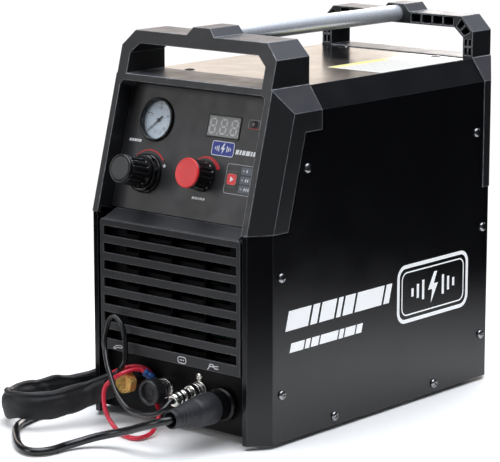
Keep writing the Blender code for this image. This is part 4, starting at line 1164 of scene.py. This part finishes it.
def add_deck_label():
    """A blank label: a yellow band in two parts and ruled lines of uneven length."""
    label = on_deck(56.5, 243)
    paper = 0.22
    add_piece("deck_label", plate(rounded_box(30.5, 61, 1.5), 0.05, paper), "label", label)
    band = plate(rectangle(-29.5, -60, -21, -34), paper, 0.26)
    plate(rectangle(-29.5, -32, -21, 20), paper, 0.26, band)
    add_piece("deck_label_band", band, "yellow_ink", label)
    lines = bmesh.new()
    for k in range(9):
        x = -17 + 5.0 * k
        end = 48 - random.uniform(0, 26)
        plate(rectangle(x, -56, x + 0.8, end), paper, 0.25, lines)
    add_piece("deck_label_lines", lines, "dark_ink", label)


def add_rear_label():
    label = on_rear(0, REAR_Y, 210)
    paper = 0.3
    add_piece("rear_label", plate(rounded_box(26, 34, 1.5), 0.05, paper), "label", label)
    rows = bmesh.new()
    for k in range(9):
        y = -26 + 6.2 * k
        outline_strip([(-22, y), (22, y)], 0.5, paper, 0.34, False, rows)
    outline_strip([(0, -26), (0, 24)], 0.5, paper, 0.34, False, rows)
    add_piece("rear_label_lines", rows, "grey_ink", label)


def add_grille_signs():
    """Outline signs for a torch, a control plug and a work clamp under the slots."""
    low, high = PRINT_LOW, DECAL_HIGH
    torch = outline_strip([(-5.2, -1.6), (-2.0, 0.8), (3.6, 1.6), (5.4, 0.2), (4.4, -0.6), (-1.0, -0.6),
                           (-3.4, -2.4)], 0.7, low, high)
    plug = outline_strip(rounded_box(4.6, 2.7, 2.2), 0.8, low, high)
    for x in (-1.8, 0.0, 1.8):
        plate(arc(x, 0.0, 0.62, 0, 330, 10), low, high, plug)
    clamp = outline_strip([(-6.2, -2.8), (-4.8, -1.2), (-3.4, 2.2), (-0.4, 2.4), (1.6, 1.0), (6.0, 1.6)], 0.8,
                          low, high, False)
    outline_strip([(-3.6, 0.2), (0.4, 0.6), (2.4, -1.0), (6.0, -0.6)], 0.8, low, high, False, clamp)
    for word, sign, x, z in (("torch", torch, -60.6, 62.6), ("plug", plug, 15.3, 63.2),
                             ("clamp", clamp, 50.8, 62.8)):
        add_piece("sign_" + word, sign, "white_ink", on_front(x, 0.0, z))


# ---------------------------------------------------------------- sockets and plugs

def hex_nut(across_flats, low, high, chamfer, turn=0.26):
    """A hexagonal nut whose corners are turned off towards both faces."""
    solid = bmesh.new()
    flat = across_flats / 2
    corner = flat / math.cos(math.pi / 6)
    sides = 72
    edge = 0.9
    rows = []
    for z, keep in ((low, 1.0 - chamfer), (low + edge, 1.0), (high - edge, 1.0), (high, 1.0 - chamfer)):
        row = []
        for i in range(sides):
            angle = math.tau * i / sides
            local = (angle - turn) % (math.pi / 3) - math.pi / 6
            radius = min(flat / math.cos(local), corner * keep)
            row.append(solid.verts.new(Vector((radius * math.cos(angle), radius * math.sin(angle), z)) * MM))
        rows.append(row)
    skin(solid, rows)
    solid.faces.new(list(reversed(rows[0])))
    solid.faces.new(rows[-1])
    return solid


def add_torch_connection():
    place = on_front(TORCH[0], PLATE_Y, TORCH[1])
    stud = turned([(0, -12), (6.3, -12), (6.3, 0.2), (7.4, 0.3, 0.3), (7.4, 3.0, 0.4), (5.6, 3.6, 0.3),
                   (5.6, 18.8), (6.6, 19.0), (0, 19.0)], 64)
    # The stud is satin black rather than brass: painted shade, as it sits in shade behind the nut.
    add_piece("torch_stud", stud, "satin", place, "torch_fitting")
    nut = hex_nut(17.4, 17.6, 25.2, 0.06)
    add_piece("torch_nut", nut, "brass", place)
    tip = turned([(3.0, 25.2), (6.4, 25.2, 0.2), (6.0, 25.5, 0.1), (3.2, 25.5), (3.0, 22)], 48, closed=True)
    add_piece("torch_nut_face", tip, "brass", place)
    branch = turned([(0, 0), (5.0, 0), (5.0, 8.0, 0.3), (5.6, 8.6, 0.2), (5.0, 10.6), (5.6, 11.0, 0.2),
                     (5.0, 13.0), (4.0, 14.0), (0, 14.0)], 48)
    elbow = place @ shifted(0, -1, 12) @ Matrix.Rotation(-math.pi / 2, 4, "Y")
    # The elbow is satin black as well: painted shade, like the stud.
    add_piece("torch_branch", branch, "satin", elbow)
    path = smooth_path([(-55.8, 0.0, 34.5), (-61.0, -1.2, 34.2), (-65.8, -7.6, 31.8), (-70, -13, 28)], 8)
    add_piece("torch_air_hose", hose(path, 4.9, 28), "cable", node="torch_hose")


def add_pilot_connection():
    place = joint_frame("pilot_nut_turn")
    post = turned([(0, -14), (4.3, -14), (4.3, 0.3), (9.6, 0.3, 0.4), (9.6, 2.0, 0.5), (8.8, 3.7, 0.4),
                   (4.0, 3.8), (4.0, 16.5), (0, 16.5)], 64)
    add_piece("pilot_stud", post, "nickel", place, "pilot_post")
    eye = turned([(4.4, 4.0), (8.8, 4.0, 0.2), (8.8, 5.6, 0.2), (4.4, 5.6)], 48, closed=True)
    turn = Matrix.Rotation(math.radians(141), 4, "Z")
    tongue = plate(rectangle(7.0, -2.6, 15.4, 2.6), 4.1, 5.5)
    tongue.transform(turn)
    merge(eye, tongue)
    add_piece("pilot_eye", eye, "nickel", place, "ring_terminal")
    seat = place @ turn @ frame_of(Vector((13.0, 0, 6.3)) * MM, (7.2, 0.0, 4.0))
    crimp = turned([(0, 0), (3.0, 0), (3.3, 0.6, 0.3), (3.4, 4.0, 0.3), (3.0, 5.0, 0.4), (3.4, 6.2, 0.3),
                    (3.5, 9.0, 0.3), (3.2, 9.6, 0.2), (2.2, 9.6), (2.2, 7), (0, 7)], 48)
    add_piece("pilot_crimp", crimp, "crimp", seat)
    nut = turned([(0, 20.4), (2.6, 20.4, 0.3), (3.2, 19.6, 0.3), (7.8, 19.6, 0.4), (8.2, 23.4, 0.4),
                  (8.8, 24.2, 0.4), (10.4, 24.2, 0.6), (11.3, 23.3, 0.5), (11.4, 21.2, 0.3),
                  (11.2, 20.6, 0, 1), (11.2, 12.6, 0, 1), (10.4, 11.6, 0.3), (7.2, 11.2, 0.3),
                  (6.8, 6.1, 0.3), (4.4, 6.0), (4.4, 17), (0, 17)], 240, 30, 1.1, square=True)
    add_piece("pilot_knurled_nut", nut, "nut_black", place, "pilot_nut", body="pilot_nut")
    path = smooth_path([(-30.8, 0.8, 45.0), (-33.2, -1.2, 46.8), (-36.0, -8.0, 47.3), (-39.8, -16.8, 45.2),
                        (-46.4, -22.5, 39.8), (-50.6, -26.0, 34.2), (-50.6, -29.0, 26.0),
                        (-45.0, -32.5, 13.8), (-35.5, -33.5, 3.6), (-20.0, -37.5, -1.4),
                        (-3.5, -38.0, -1.4), (-1.0, -24.0, -0.6), (-4.5, -13.0, 3.4), (-9.0, -3.0, 12.0),
                        (-19.0, 5.5, 15.5), (-26.5, 9.2, 23.0), (-28.4, 9.7, 32.0), (-28.8, 9.6, 39.5),
                        (-32.5, 8.0, 45.2), (-39.5, 5.0, 47.4), (-46.8, 1.0, 46.6), (-54.0, -3.4, 44.2),
                        (-60.4, -7.0, 40.6), (-67.0, -12.0, 36.0)], 9)
    add_piece("pilot_wire_round", hose(path, 1.95, 20), "wire", node="pilot_wire")


def add_trigger_connection():
    fixed = on_front(TRIGGER[0], PLATE_Y, TRIGGER[1])
    socket = turned([(0, -14), (6.0, -14), (6.0, 0.3), (8.6, 0.3, 0.3), (8.6, 1.6, 0.4), (7.9, 2.3, 0.3),
                     (6.2, 2.5), (6.2, 3.2, 0.2), (5.8, 3.5), (6.2, 3.9), (5.8, 4.3), (6.2, 4.7),
                     (5.8, 5.1), (6.1, 5.4), (6.1, 9.6), (0, 9.6)], 72)
    add_piece("trigger_base", socket, "nickel", fixed, "trigger_socket")
    place = joint_frame("trigger_collar_turn") @ shifted(0, 0, -7.5)
    collar = turned([(6.6, 5.6), (7.0, 5.4, 0.2), (7.3, 6.2, 0.3), (7.3, 7.6, 0.2), (7.0, 8.0, 0, 1),
                     (7.1, 8.6, 0, 1), (7.1, 12.4, 0, 1), (7.0, 12.9, 0, 1), (7.3, 13.3, 0.2),
                     (7.0, 14.0, 0.3), (5.5, 14.0), (5.5, 10.4), (6.6, 10.2)], 160, 20, 0.5, True)
    add_piece("trigger_ring", collar, "nickel", place, "trigger_collar", body="trigger_collar")
    body = turned([(0, 10.1), (5.2, 10.1), (5.2, 16.6, 0.3), (4.7, 17.0, 0.2), (5.9, 17.8, 0.3),
                   (6.0, 18.8, 0, 1), (6.0, 22.4, 0, 1), (5.7, 23.0, 0.3), (4.6, 23.4, 0.3),
                   (4.6, 25.0, 0.3), (5.9, 25.6, 0.4), (6.0, 28.6, 0.4), (5.2, 29.2, 0.3),
                   (5.2, 30.0, 0.2), (5.9, 30.4, 0.3), (5.9, 34.0, 0.6), (5.0, 35.4, 0.4), (2.9, 35.8, 0.2),
                   (2.6, 33.0), (0, 33.0)], 144, 18, 0.45)
    add_piece("trigger_shell", body, "nickel", place, "trigger_plug")
    knots = [tuple(in_case(place @ Vector((0, 0, t * MM)))) for t in (33.4, 35.0, 37.8)]
    knots += [(24.7, -33.5, 28.4), (19.8, -37.5, 24.8), (10.6, -39.5, 22.6), (1.4, -39.5, 22.2),
              (-13.5, -38.0, 23.6), (-29.9, -34.5, 33.6), (-45.5, -27.0, 48.6), (-57.4, -18.5, 58.9),
              (-63.0, -14.5, 68.8), (-64.4, -11.0, 78.0), (-62.6, -8.0, 88.7), (-57.4, -6.5, 91.3),
              (-50.1, -6.5, 85.9), (-45.0, -7.5, 75.2), (-43.4, -8.5, 62.7), (-43.6, -10.0, 53.5),
              (-46.2, -13.6, 46.6), (-51.0, -15.4, 40.6), (-57.6, -15.0, 35.4), (-67.0, -15.2, 29.0)]
    add_piece("trigger_cable", hose(smooth_path(knots, 9), 2.3, 20), "cable", node="trigger_lead")


def add_work_connection():
    place = on_front(WORK[0], PLATE_Y, WORK[1])
    socket = turned([(0, -16), (11.6, -16), (11.6, 0.3), (15.2, 0.3, 0.4), (15.2, 3.8, 0.5), (14.4, 5.5, 0.6),
                     (12.9, 5.7, 0.3), (12.9, 17.0), (12.2, 17.3), (12.2, 20.0), (0, 20.0)], 96)
    add_piece("work_base", socket, "gloss", place, "work_socket")
    ribs = []
    for i in range(5):
        start = 40.5 + 4.6 * i
        radius = 11.7 - 0.75 * i
        ribs += [(radius - 0.5, start, 0.4), (radius, start + 0.6, 0.5), (radius, start + 2.2, 0.6),
                 (radius - 1.5, start + 3.0, 0.5), (radius - 1.6, start + 4.0, 0.4)]
    boot = turned([(0, 17.6), (13.2, 17.6, 0.5), (14.0, 18.6, 0.6), (14.0, 29.0, 5.0), (12.4, 38.4, 1.5)]
                  + ribs + [(8.4, 63.4, 0.4), (8.2, 67.8, 0.8), (7.6, 68.6, 0.5), (6.4, 68.4, 0.6),
                            (6.0, 58.0), (0, 58.0)], 96)
    add_piece("work_boot", boot, "rubber", place, "work_plug")
    x, z = WORK
    end = PLATE_Y - 65.0
    path = [(x, end + 3, z), (x, end, z), (x, end - 4.5, z), (x - 3.6, end - 9.4, z - 0.9),
            (41.0, -65.4, 25.0), (27.0, -65.2, 19.8), (11.3, -64.5, 13.8), (-3.0, -66.5, 9.2),
            (-15.6, -74.0, 5.4), (-24.6, -85.0, 2.0), (-28.8, -98.0, 0.4), (-29.6, -111.0, 0.0),
            (-32.4, -121.0, 0.0), (-39.4, -127.4, 0.0), (-50.5, -126.6, 0.0), (-65.0, -118.4, 0.0),
            (-83.0, -103.4, 0.0), (-97.4, -89.2, 0.0), (-107.4, -75.4, 0.0), (-113.0, -58.0, 0.0),
            (-116.0, -36.0, 0.0), (-116.6, -6.0, 0.0), (-114.4, 44.0, 0.0), (-111.4, 100.0, 0.0),
            (-111.0, 180.0, 0.0), (-111.0, 258.0, 0.0)]
    add_piece("work_cable_round", hose(smooth_path(path, 9), 3.5, 28), "cable", node="work_cable")


# ---------------------------------------------------------------- rear and inside

def add_fan_guard():
    fan = joint_frame("fan_spin")
    fan.translation.y = case(0, REAR_Y, 0).y
    guard = bmesh.new()
    for radius in (10, 18, 26, 34, 42):
        merge(guard, turned([(radius - 0.8, 2.0), (radius, 2.8, 0.4), (radius + 0.8, 2.0),
                             (radius, 1.2, 0.4)], 64, closed=True))
    for k in range(8):
        spoke = plate(rectangle(9.5, -0.7, 44.5, 0.7), 0.6, 1.6)
        spoke.transform(Matrix.Rotation(math.tau * k / 8, 4, "Z"))
        merge(guard, spoke)
    merge(guard, turned([(0, 0.4), (8.6, 0.4), (8.6, 2.4, 0.6), (0, 2.8)], 48))
    add_piece("fan_guard", guard, "black_steel", fan)
    reach = 41.2
    for x, column in ((-reach, "l"), (reach, "r")):
        for y, row in ((-reach, "b"), (reach, "t")):
            head = turned([(0, 0.1), (4.4, 0.1), (4.4, 1.4, 0.5), (2.4, 2.4, 0.5), (0, 2.5)], 32)
            add_piece("fan_bolt_" + column + row, head, "steel", fan @ shifted(x, y, 0))


def paint_rear_and_inside():
    for node, look in (("fan_frame", "satin"), ("fan_rotor", "satin"), ("heatsink", "tube"),
                       ("power_board", "board"), ("transformer", "copper"), ("control_board", "board"),
                       ("air_inlet", "brass"), ("regulator_body", "tube")):
        paint(node, look)
    for node, look in (("solenoid_valve", "satin"), ("switch_body", "gloss"), ("switch_rocker", "red")):
        paint(node, look, 0.4)


def add_power_cord():
    """The cord's strain relief, the cord down to the floor, and its two-bladed plug."""
    x, z = CORD
    y = REAR_Y
    ribs = []
    for i in range(5):
        start = 6.5 + 3.4 * i
        radius = 8.6 - 0.25 * i
        ribs += [(radius, start, 0.3), (radius, start + 2.0, 0.3), (7.0, start + 2.3, 0.2),
                 (7.0, start + 3.2, 0.2)]
    relief = turned([(0, -8), (7.6, -8), (7.6, 0.3), (11, 0.3, 0.4), (11, 4, 0.8)] + ribs
                    + [(7.2, 24.0, 0.6), (0, 24)], 64)
    add_piece("cord_relief", relief, "rubber", on_rear(x, y, z), "power_cord")
    path = smooth_path([(x, y + 10, z), (x, y + 26, z - 1), (x - 1, y + 44, z - 14), (x - 4, y + 52, z - 40),
                        (x - 14, y + 54, 8), (x - 34, y + 54, 1), (x - 60, y + 51, 3.5),
                        (x - 84, y + 50, 10)], 10)
    add_piece("cord_round", hose(path, 4.4, 28), "cable")
    seat = frame_of(case(x - 82, y + 50, 10), (-1, 0, 0))
    plug = turned([(0, -2), (6, -2, 0.8), (6.6, 4, 0.5), (9, 8, 1.5), (12.4, 13, 1.5), (12.8, 14.4, 0.5),
                   (12.8, 28.6, 1.0), (11.6, 30, 0.5), (0, 30)], 72)
    add_piece("cord_plug", plug, "rubber", seat)
    blades = bmesh.new()
    for side in (-6, 6):
        merge(blades, plate(rounded_box(3.4, 0.8, 0.6, (0, side)), 28, 47.5))
    add_piece("cord_blades", blades, "nickel", seat @ Matrix.Rotation(math.pi / 2, 4, "Z"))


def add_air_hose():
    """The air line inside the case, from the valve at the rear to the regulator's back."""
    x, z = AIR_INLET
    y = in_case(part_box("air_hose")[1]).y
    back = in_case(on_panel(*REGULATOR) @ Vector((0, 0, -66.5 * MM)))
    path = [(x, y - 0.1, z), (x, y - 4, z), (x, y - 14, z), (x + 2, 230, 178), (x + 8, 170, 200),
            (REGULATOR[0], back.y + 22, back.z - 4), tuple(back)]
    add_piece("inner_air_hose", hose(smooth_path(path, 9), 4.0, 24), "cable", node="air_hose")


# ---------------------------------------------------------------- torch sleeve

def evenly(path, step):
    """Points at an even distance along a path."""
    points = [path[0]]
    left = step
    for one, two in zip(path, path[1:]):
        run = (two - one).length
        spent = 0.0
        while run - spent >= left:
            spent += left
            points.append(one + (two - one) * (spent / run))
            left = step
        left -= run - spent
    points.append(path[-1])
    return points


def ease(value, low, high):
    t = min(1.0, max(0.0, (value - low) / (high - low)))
    return t * t * (3 - 2 * t)


def sleeve_section(run, bend):
    """The sleeve's section at a run along it, as how far each point stands out sideways and up.

    It has a thin stitched fold on top, wavy edges, slack faces and, on the inside of a bend, creases.
    """
    half_thick = SLEEVE_HALF_THICK + 2.8 * (1.0 - ease(run, 0, 26))
    half_high = SLEEVE_HALF_HIGH + 3.1 * ease(run, 8, 48)
    crease = min(1.0, abs(bend) * 9)
    section = []
    for k in range(SLEEVE_SIDES):
        angle = math.tau * k / SLEEVE_SIDES
        w = math.sin(angle)
        u = math.copysign(abs(math.cos(angle)) ** 0.95, math.cos(angle))
        out = u * (half_thick * (1 - 0.42 * ease(w, 0.40, 0.74)) + 1.9 * ease(w, 0.74, 0.84))
        lift = w * half_high
        if w > 0.5:
            lift += 1.7 * noise.noise(Vector((run / 21.0, 3.1, 7.7))) * ease(w, 0.5, 1.0)
        if w < -0.4:
            lift += 2.4 * noise.noise(Vector((run / 22.0, 9.4, 1.2))) * ease(-w, 0.4, 1.0)
        face = 1.0 if u > 0 else -1.0
        slack = 1 - abs(w) ** 4
        seed = Vector((run / 17.0, w * 1.1, face * 5.0))
        out += face * 1.3 * noise.noise(seed) * slack
        out += face * 0.35 * noise.noise(seed * 3.1) * slack
        if face * math.copysign(1.0, bend) > 0:
            slant = run / 6.5 + w * 1.3 + 1.8 * noise.noise(Vector((run / 30.0, w, 4.0)))
            out += face * 0.95 * crease * math.sin(slant * 2.2) * (1 - abs(w) ** 3)
        section.append((out, lift))
    return section


def sleeve_shape():
    """The sleeve's cloth tube along its path, with its mouth turned in."""
    path = evenly(smooth_path(SLEEVE_PATH, 12), SLEEVE_STEP * MM)
    last = len(path) - 1
    solid = bmesh.new()
    rings = []
    for i, point in enumerate(path):
        ahead = (path[min(i + 2, last)] - path[max(i - 2, 0)]).normalized()
        later = (path[min(i + 5, last)] - path[min(i + 2, last - 1)]).normalized()
        side = UP.cross(ahead).normalized()
        up = ahead.cross(side)
        section = sleeve_section(i * SLEEVE_STEP, ahead.cross(later).z)
        rings.append([solid.verts.new(point + side * out * MM + up * lift * MM) for out, lift in section])
    skin(solid, rings)
    solid.faces.new(rings[-1])
    mouth = rings[0]
    middle = sum((v.co for v in mouth), Vector()) / SLEEVE_SIDES
    ahead = (path[4] - path[0]).normalized()
    lining = [mouth]
    for depth, shrink in ((-0.2, 0.90), (2.0, 0.84), (16.0, 0.74)):
        lining.append([solid.verts.new(middle + (v.co - middle) * shrink + ahead * depth * MM)
                       for v in mouth])
    for one, two in zip(lining, lining[1:]):
        for k in range(SLEEVE_SIDES):
            m = (k + 1) % SLEEVE_SIDES
            solid.faces.new((one[m], one[k], two[k], two[m]))
    solid.faces.new(list(reversed(lining[-1])))
    bmesh.ops.recalc_face_normals(solid, faces=solid.faces)
    return solid, path


def slacken(piece):
    """Let the cloth of the sleeve buckle a little, with every point kept near its start."""
    mesh = piece.data
    before = [vertex.co.copy() for vertex in mesh.vertices]
    cloth = piece.modifiers.new("cloth", "CLOTH")
    for key, value in CLOTH.items():
        setattr(cloth.settings, key, value)
    cloth.settings.effector_weights.gravity = 0.0
    cloth.collision_settings.use_self_collision = False
    scene = bpy.context.scene
    for number in range(1, CLOTH_FRAMES + 1):
        scene.frame_set(number)
    after = [vertex.co.copy() for vertex in evaluated(piece).data.vertices]
    piece.modifiers.remove(cloth)
    scene.frame_set(1)
    for vertex, old, new in zip(mesh.vertices, before, after):
        move = new - old
        if move.length > CLOTH_REACH * MM:
            move *= CLOTH_REACH * MM / move.length
        vertex.co = old + move
        vertex.co.z = max(vertex.co.z, FLOOR_Z + 0.2 * MM)
    mesh.update()


def add_sleeve():
    solid, path = sleeve_shape()
    piece = add_piece("torch_sleeve_cloth", solid, "cloth", node="torch_sleeve", degrees=60)
    slacken(piece)
    stitches = bmesh.new()
    for i in range(6, len(path) - 3):
        ahead = (path[i + 1] - path[i - 1]).normalized()
        side = UP.cross(ahead).normalized()
        for face in (-1, 1):
            stitch = turned([(0, -0.85), (0.26, -0.6), (0.32, 0), (0.26, 0.6), (0, 0.85)], 8)
            stitch.transform(frame_of(path[i] + (side * face * 2.9 + UP * 8.9) * MM, ahead))
            merge(stitches, stitch)
    add_piece("torch_sleeve_stitches", stitches, "thread")


# ---------------------------------------------------------------- camera, light and floor

def add_camera():
    level = math.cos(ELEVATION)
    back = Vector((math.sin(AZIMUTH) * level, -math.cos(AZIMUTH) * level, math.sin(ELEVATION)))
    data = bpy.data.cameras.new("camera")
    data.sensor_width = 36.0
    data.lens = LENS
    data.clip_end = 50.0
    camera = add_object("camera", data)
    camera.location = case(*TARGET) + back * DISTANCE
    camera.rotation_euler = back.to_track_quat("Z", "Y").to_euler()
    bpy.context.scene.camera = camera


def add_area(name, place, aim, size, watts, color):
    data = bpy.data.lights.new(name, "AREA")
    data.shape = "RECTANGLE"
    data.size, data.size_y = size
    data.energy = watts
    data.color = color
    light = add_object(name, data)
    light.location = place
    light.rotation_euler = (Vector(place) - Vector(aim)).to_track_quat("Z", "Y").to_euler()


def add_world():
    """Light from all round that brightens upwards, with a white backdrop for the camera only."""
    world = bpy.data.worlds.new("studio")
    bpy.context.scene.world = world
    world.use_nodes = True
    world.node_tree.nodes.clear()
    nodes = Nodes(world.node_tree)
    split = nodes.add("ShaderNodeSeparateXYZ")
    nodes.feed(nodes.add("ShaderNodeTexCoord").outputs["Generated"], split.inputs[0])
    rise = nodes.add("ShaderNodeMapRange")
    nodes.feed(-1.0, rise.inputs["From Min"])
    nodes.feed(split.outputs["Z"], rise.inputs["Value"])
    ramp = nodes.add("ShaderNodeValToRGB")
    nodes.feed(rise.outputs["Result"], ramp.inputs["Fac"])
    stops = ramp.color_ramp.elements
    for stop, (position, color) in zip(stops, (SKY[0], SKY[-1])):
        stop.position = position
        stop.color = (*color, 1)
    for position, color in SKY[1:-1]:
        stops.new(position).color = (*color, 1)
    room = nodes.add("ShaderNodeBackground")
    nodes.feed(ramp.outputs["Color"], room.inputs["Color"])
    nodes.feed(ROOM_STRENGTH, room.inputs["Strength"])
    backdrop = nodes.add("ShaderNodeBackground")
    nodes.feed((1, 1, 1, 1), backdrop.inputs["Color"])
    nodes.feed(BACKDROP_STRENGTH, backdrop.inputs["Strength"])
    seen = nodes.add("ShaderNodeLightPath").outputs["Is Camera Ray"]
    nodes.blend_shaders(seen, room, backdrop, nodes.add("ShaderNodeOutputWorld"))


def add_floor():
    floor = bmesh.new()
    bmesh.ops.create_circle(floor, cap_ends=True, segments=96, radius=FLOOR_RADIUS * 1.3)
    mesh = as_mesh("floor", floor)
    mesh.materials.append(studio_floor().material)
    add_object("floor", mesh, Matrix.Translation((0, 0, FLOOR_Z)))


def add_studio():
    add_world()
    for light in LIGHTS:
        add_area(*light)
    bpy.data.objects["warm_card"].visible_camera = False
    add_floor()
    bpy.context.scene.view_settings.view_transform = "Standard"


finish_casing()
add_screws()
add_gauge()
add_regulator()
add_current_control()
add_display()
add_captions()
add_badge()
add_mode_key()
add_key_windows()
add_lamp()
for side, word in SIDES:
    add_side_print(side, word)
add_deck_label()
add_rear_label()
add_grille_signs()
add_torch_connection()
add_pilot_connection()
add_trigger_connection()
add_work_connection()
add_fan_guard()
paint_rear_and_inside()
add_power_cord()
add_air_hose()
add_sleeve()
add_camera()
add_studio()
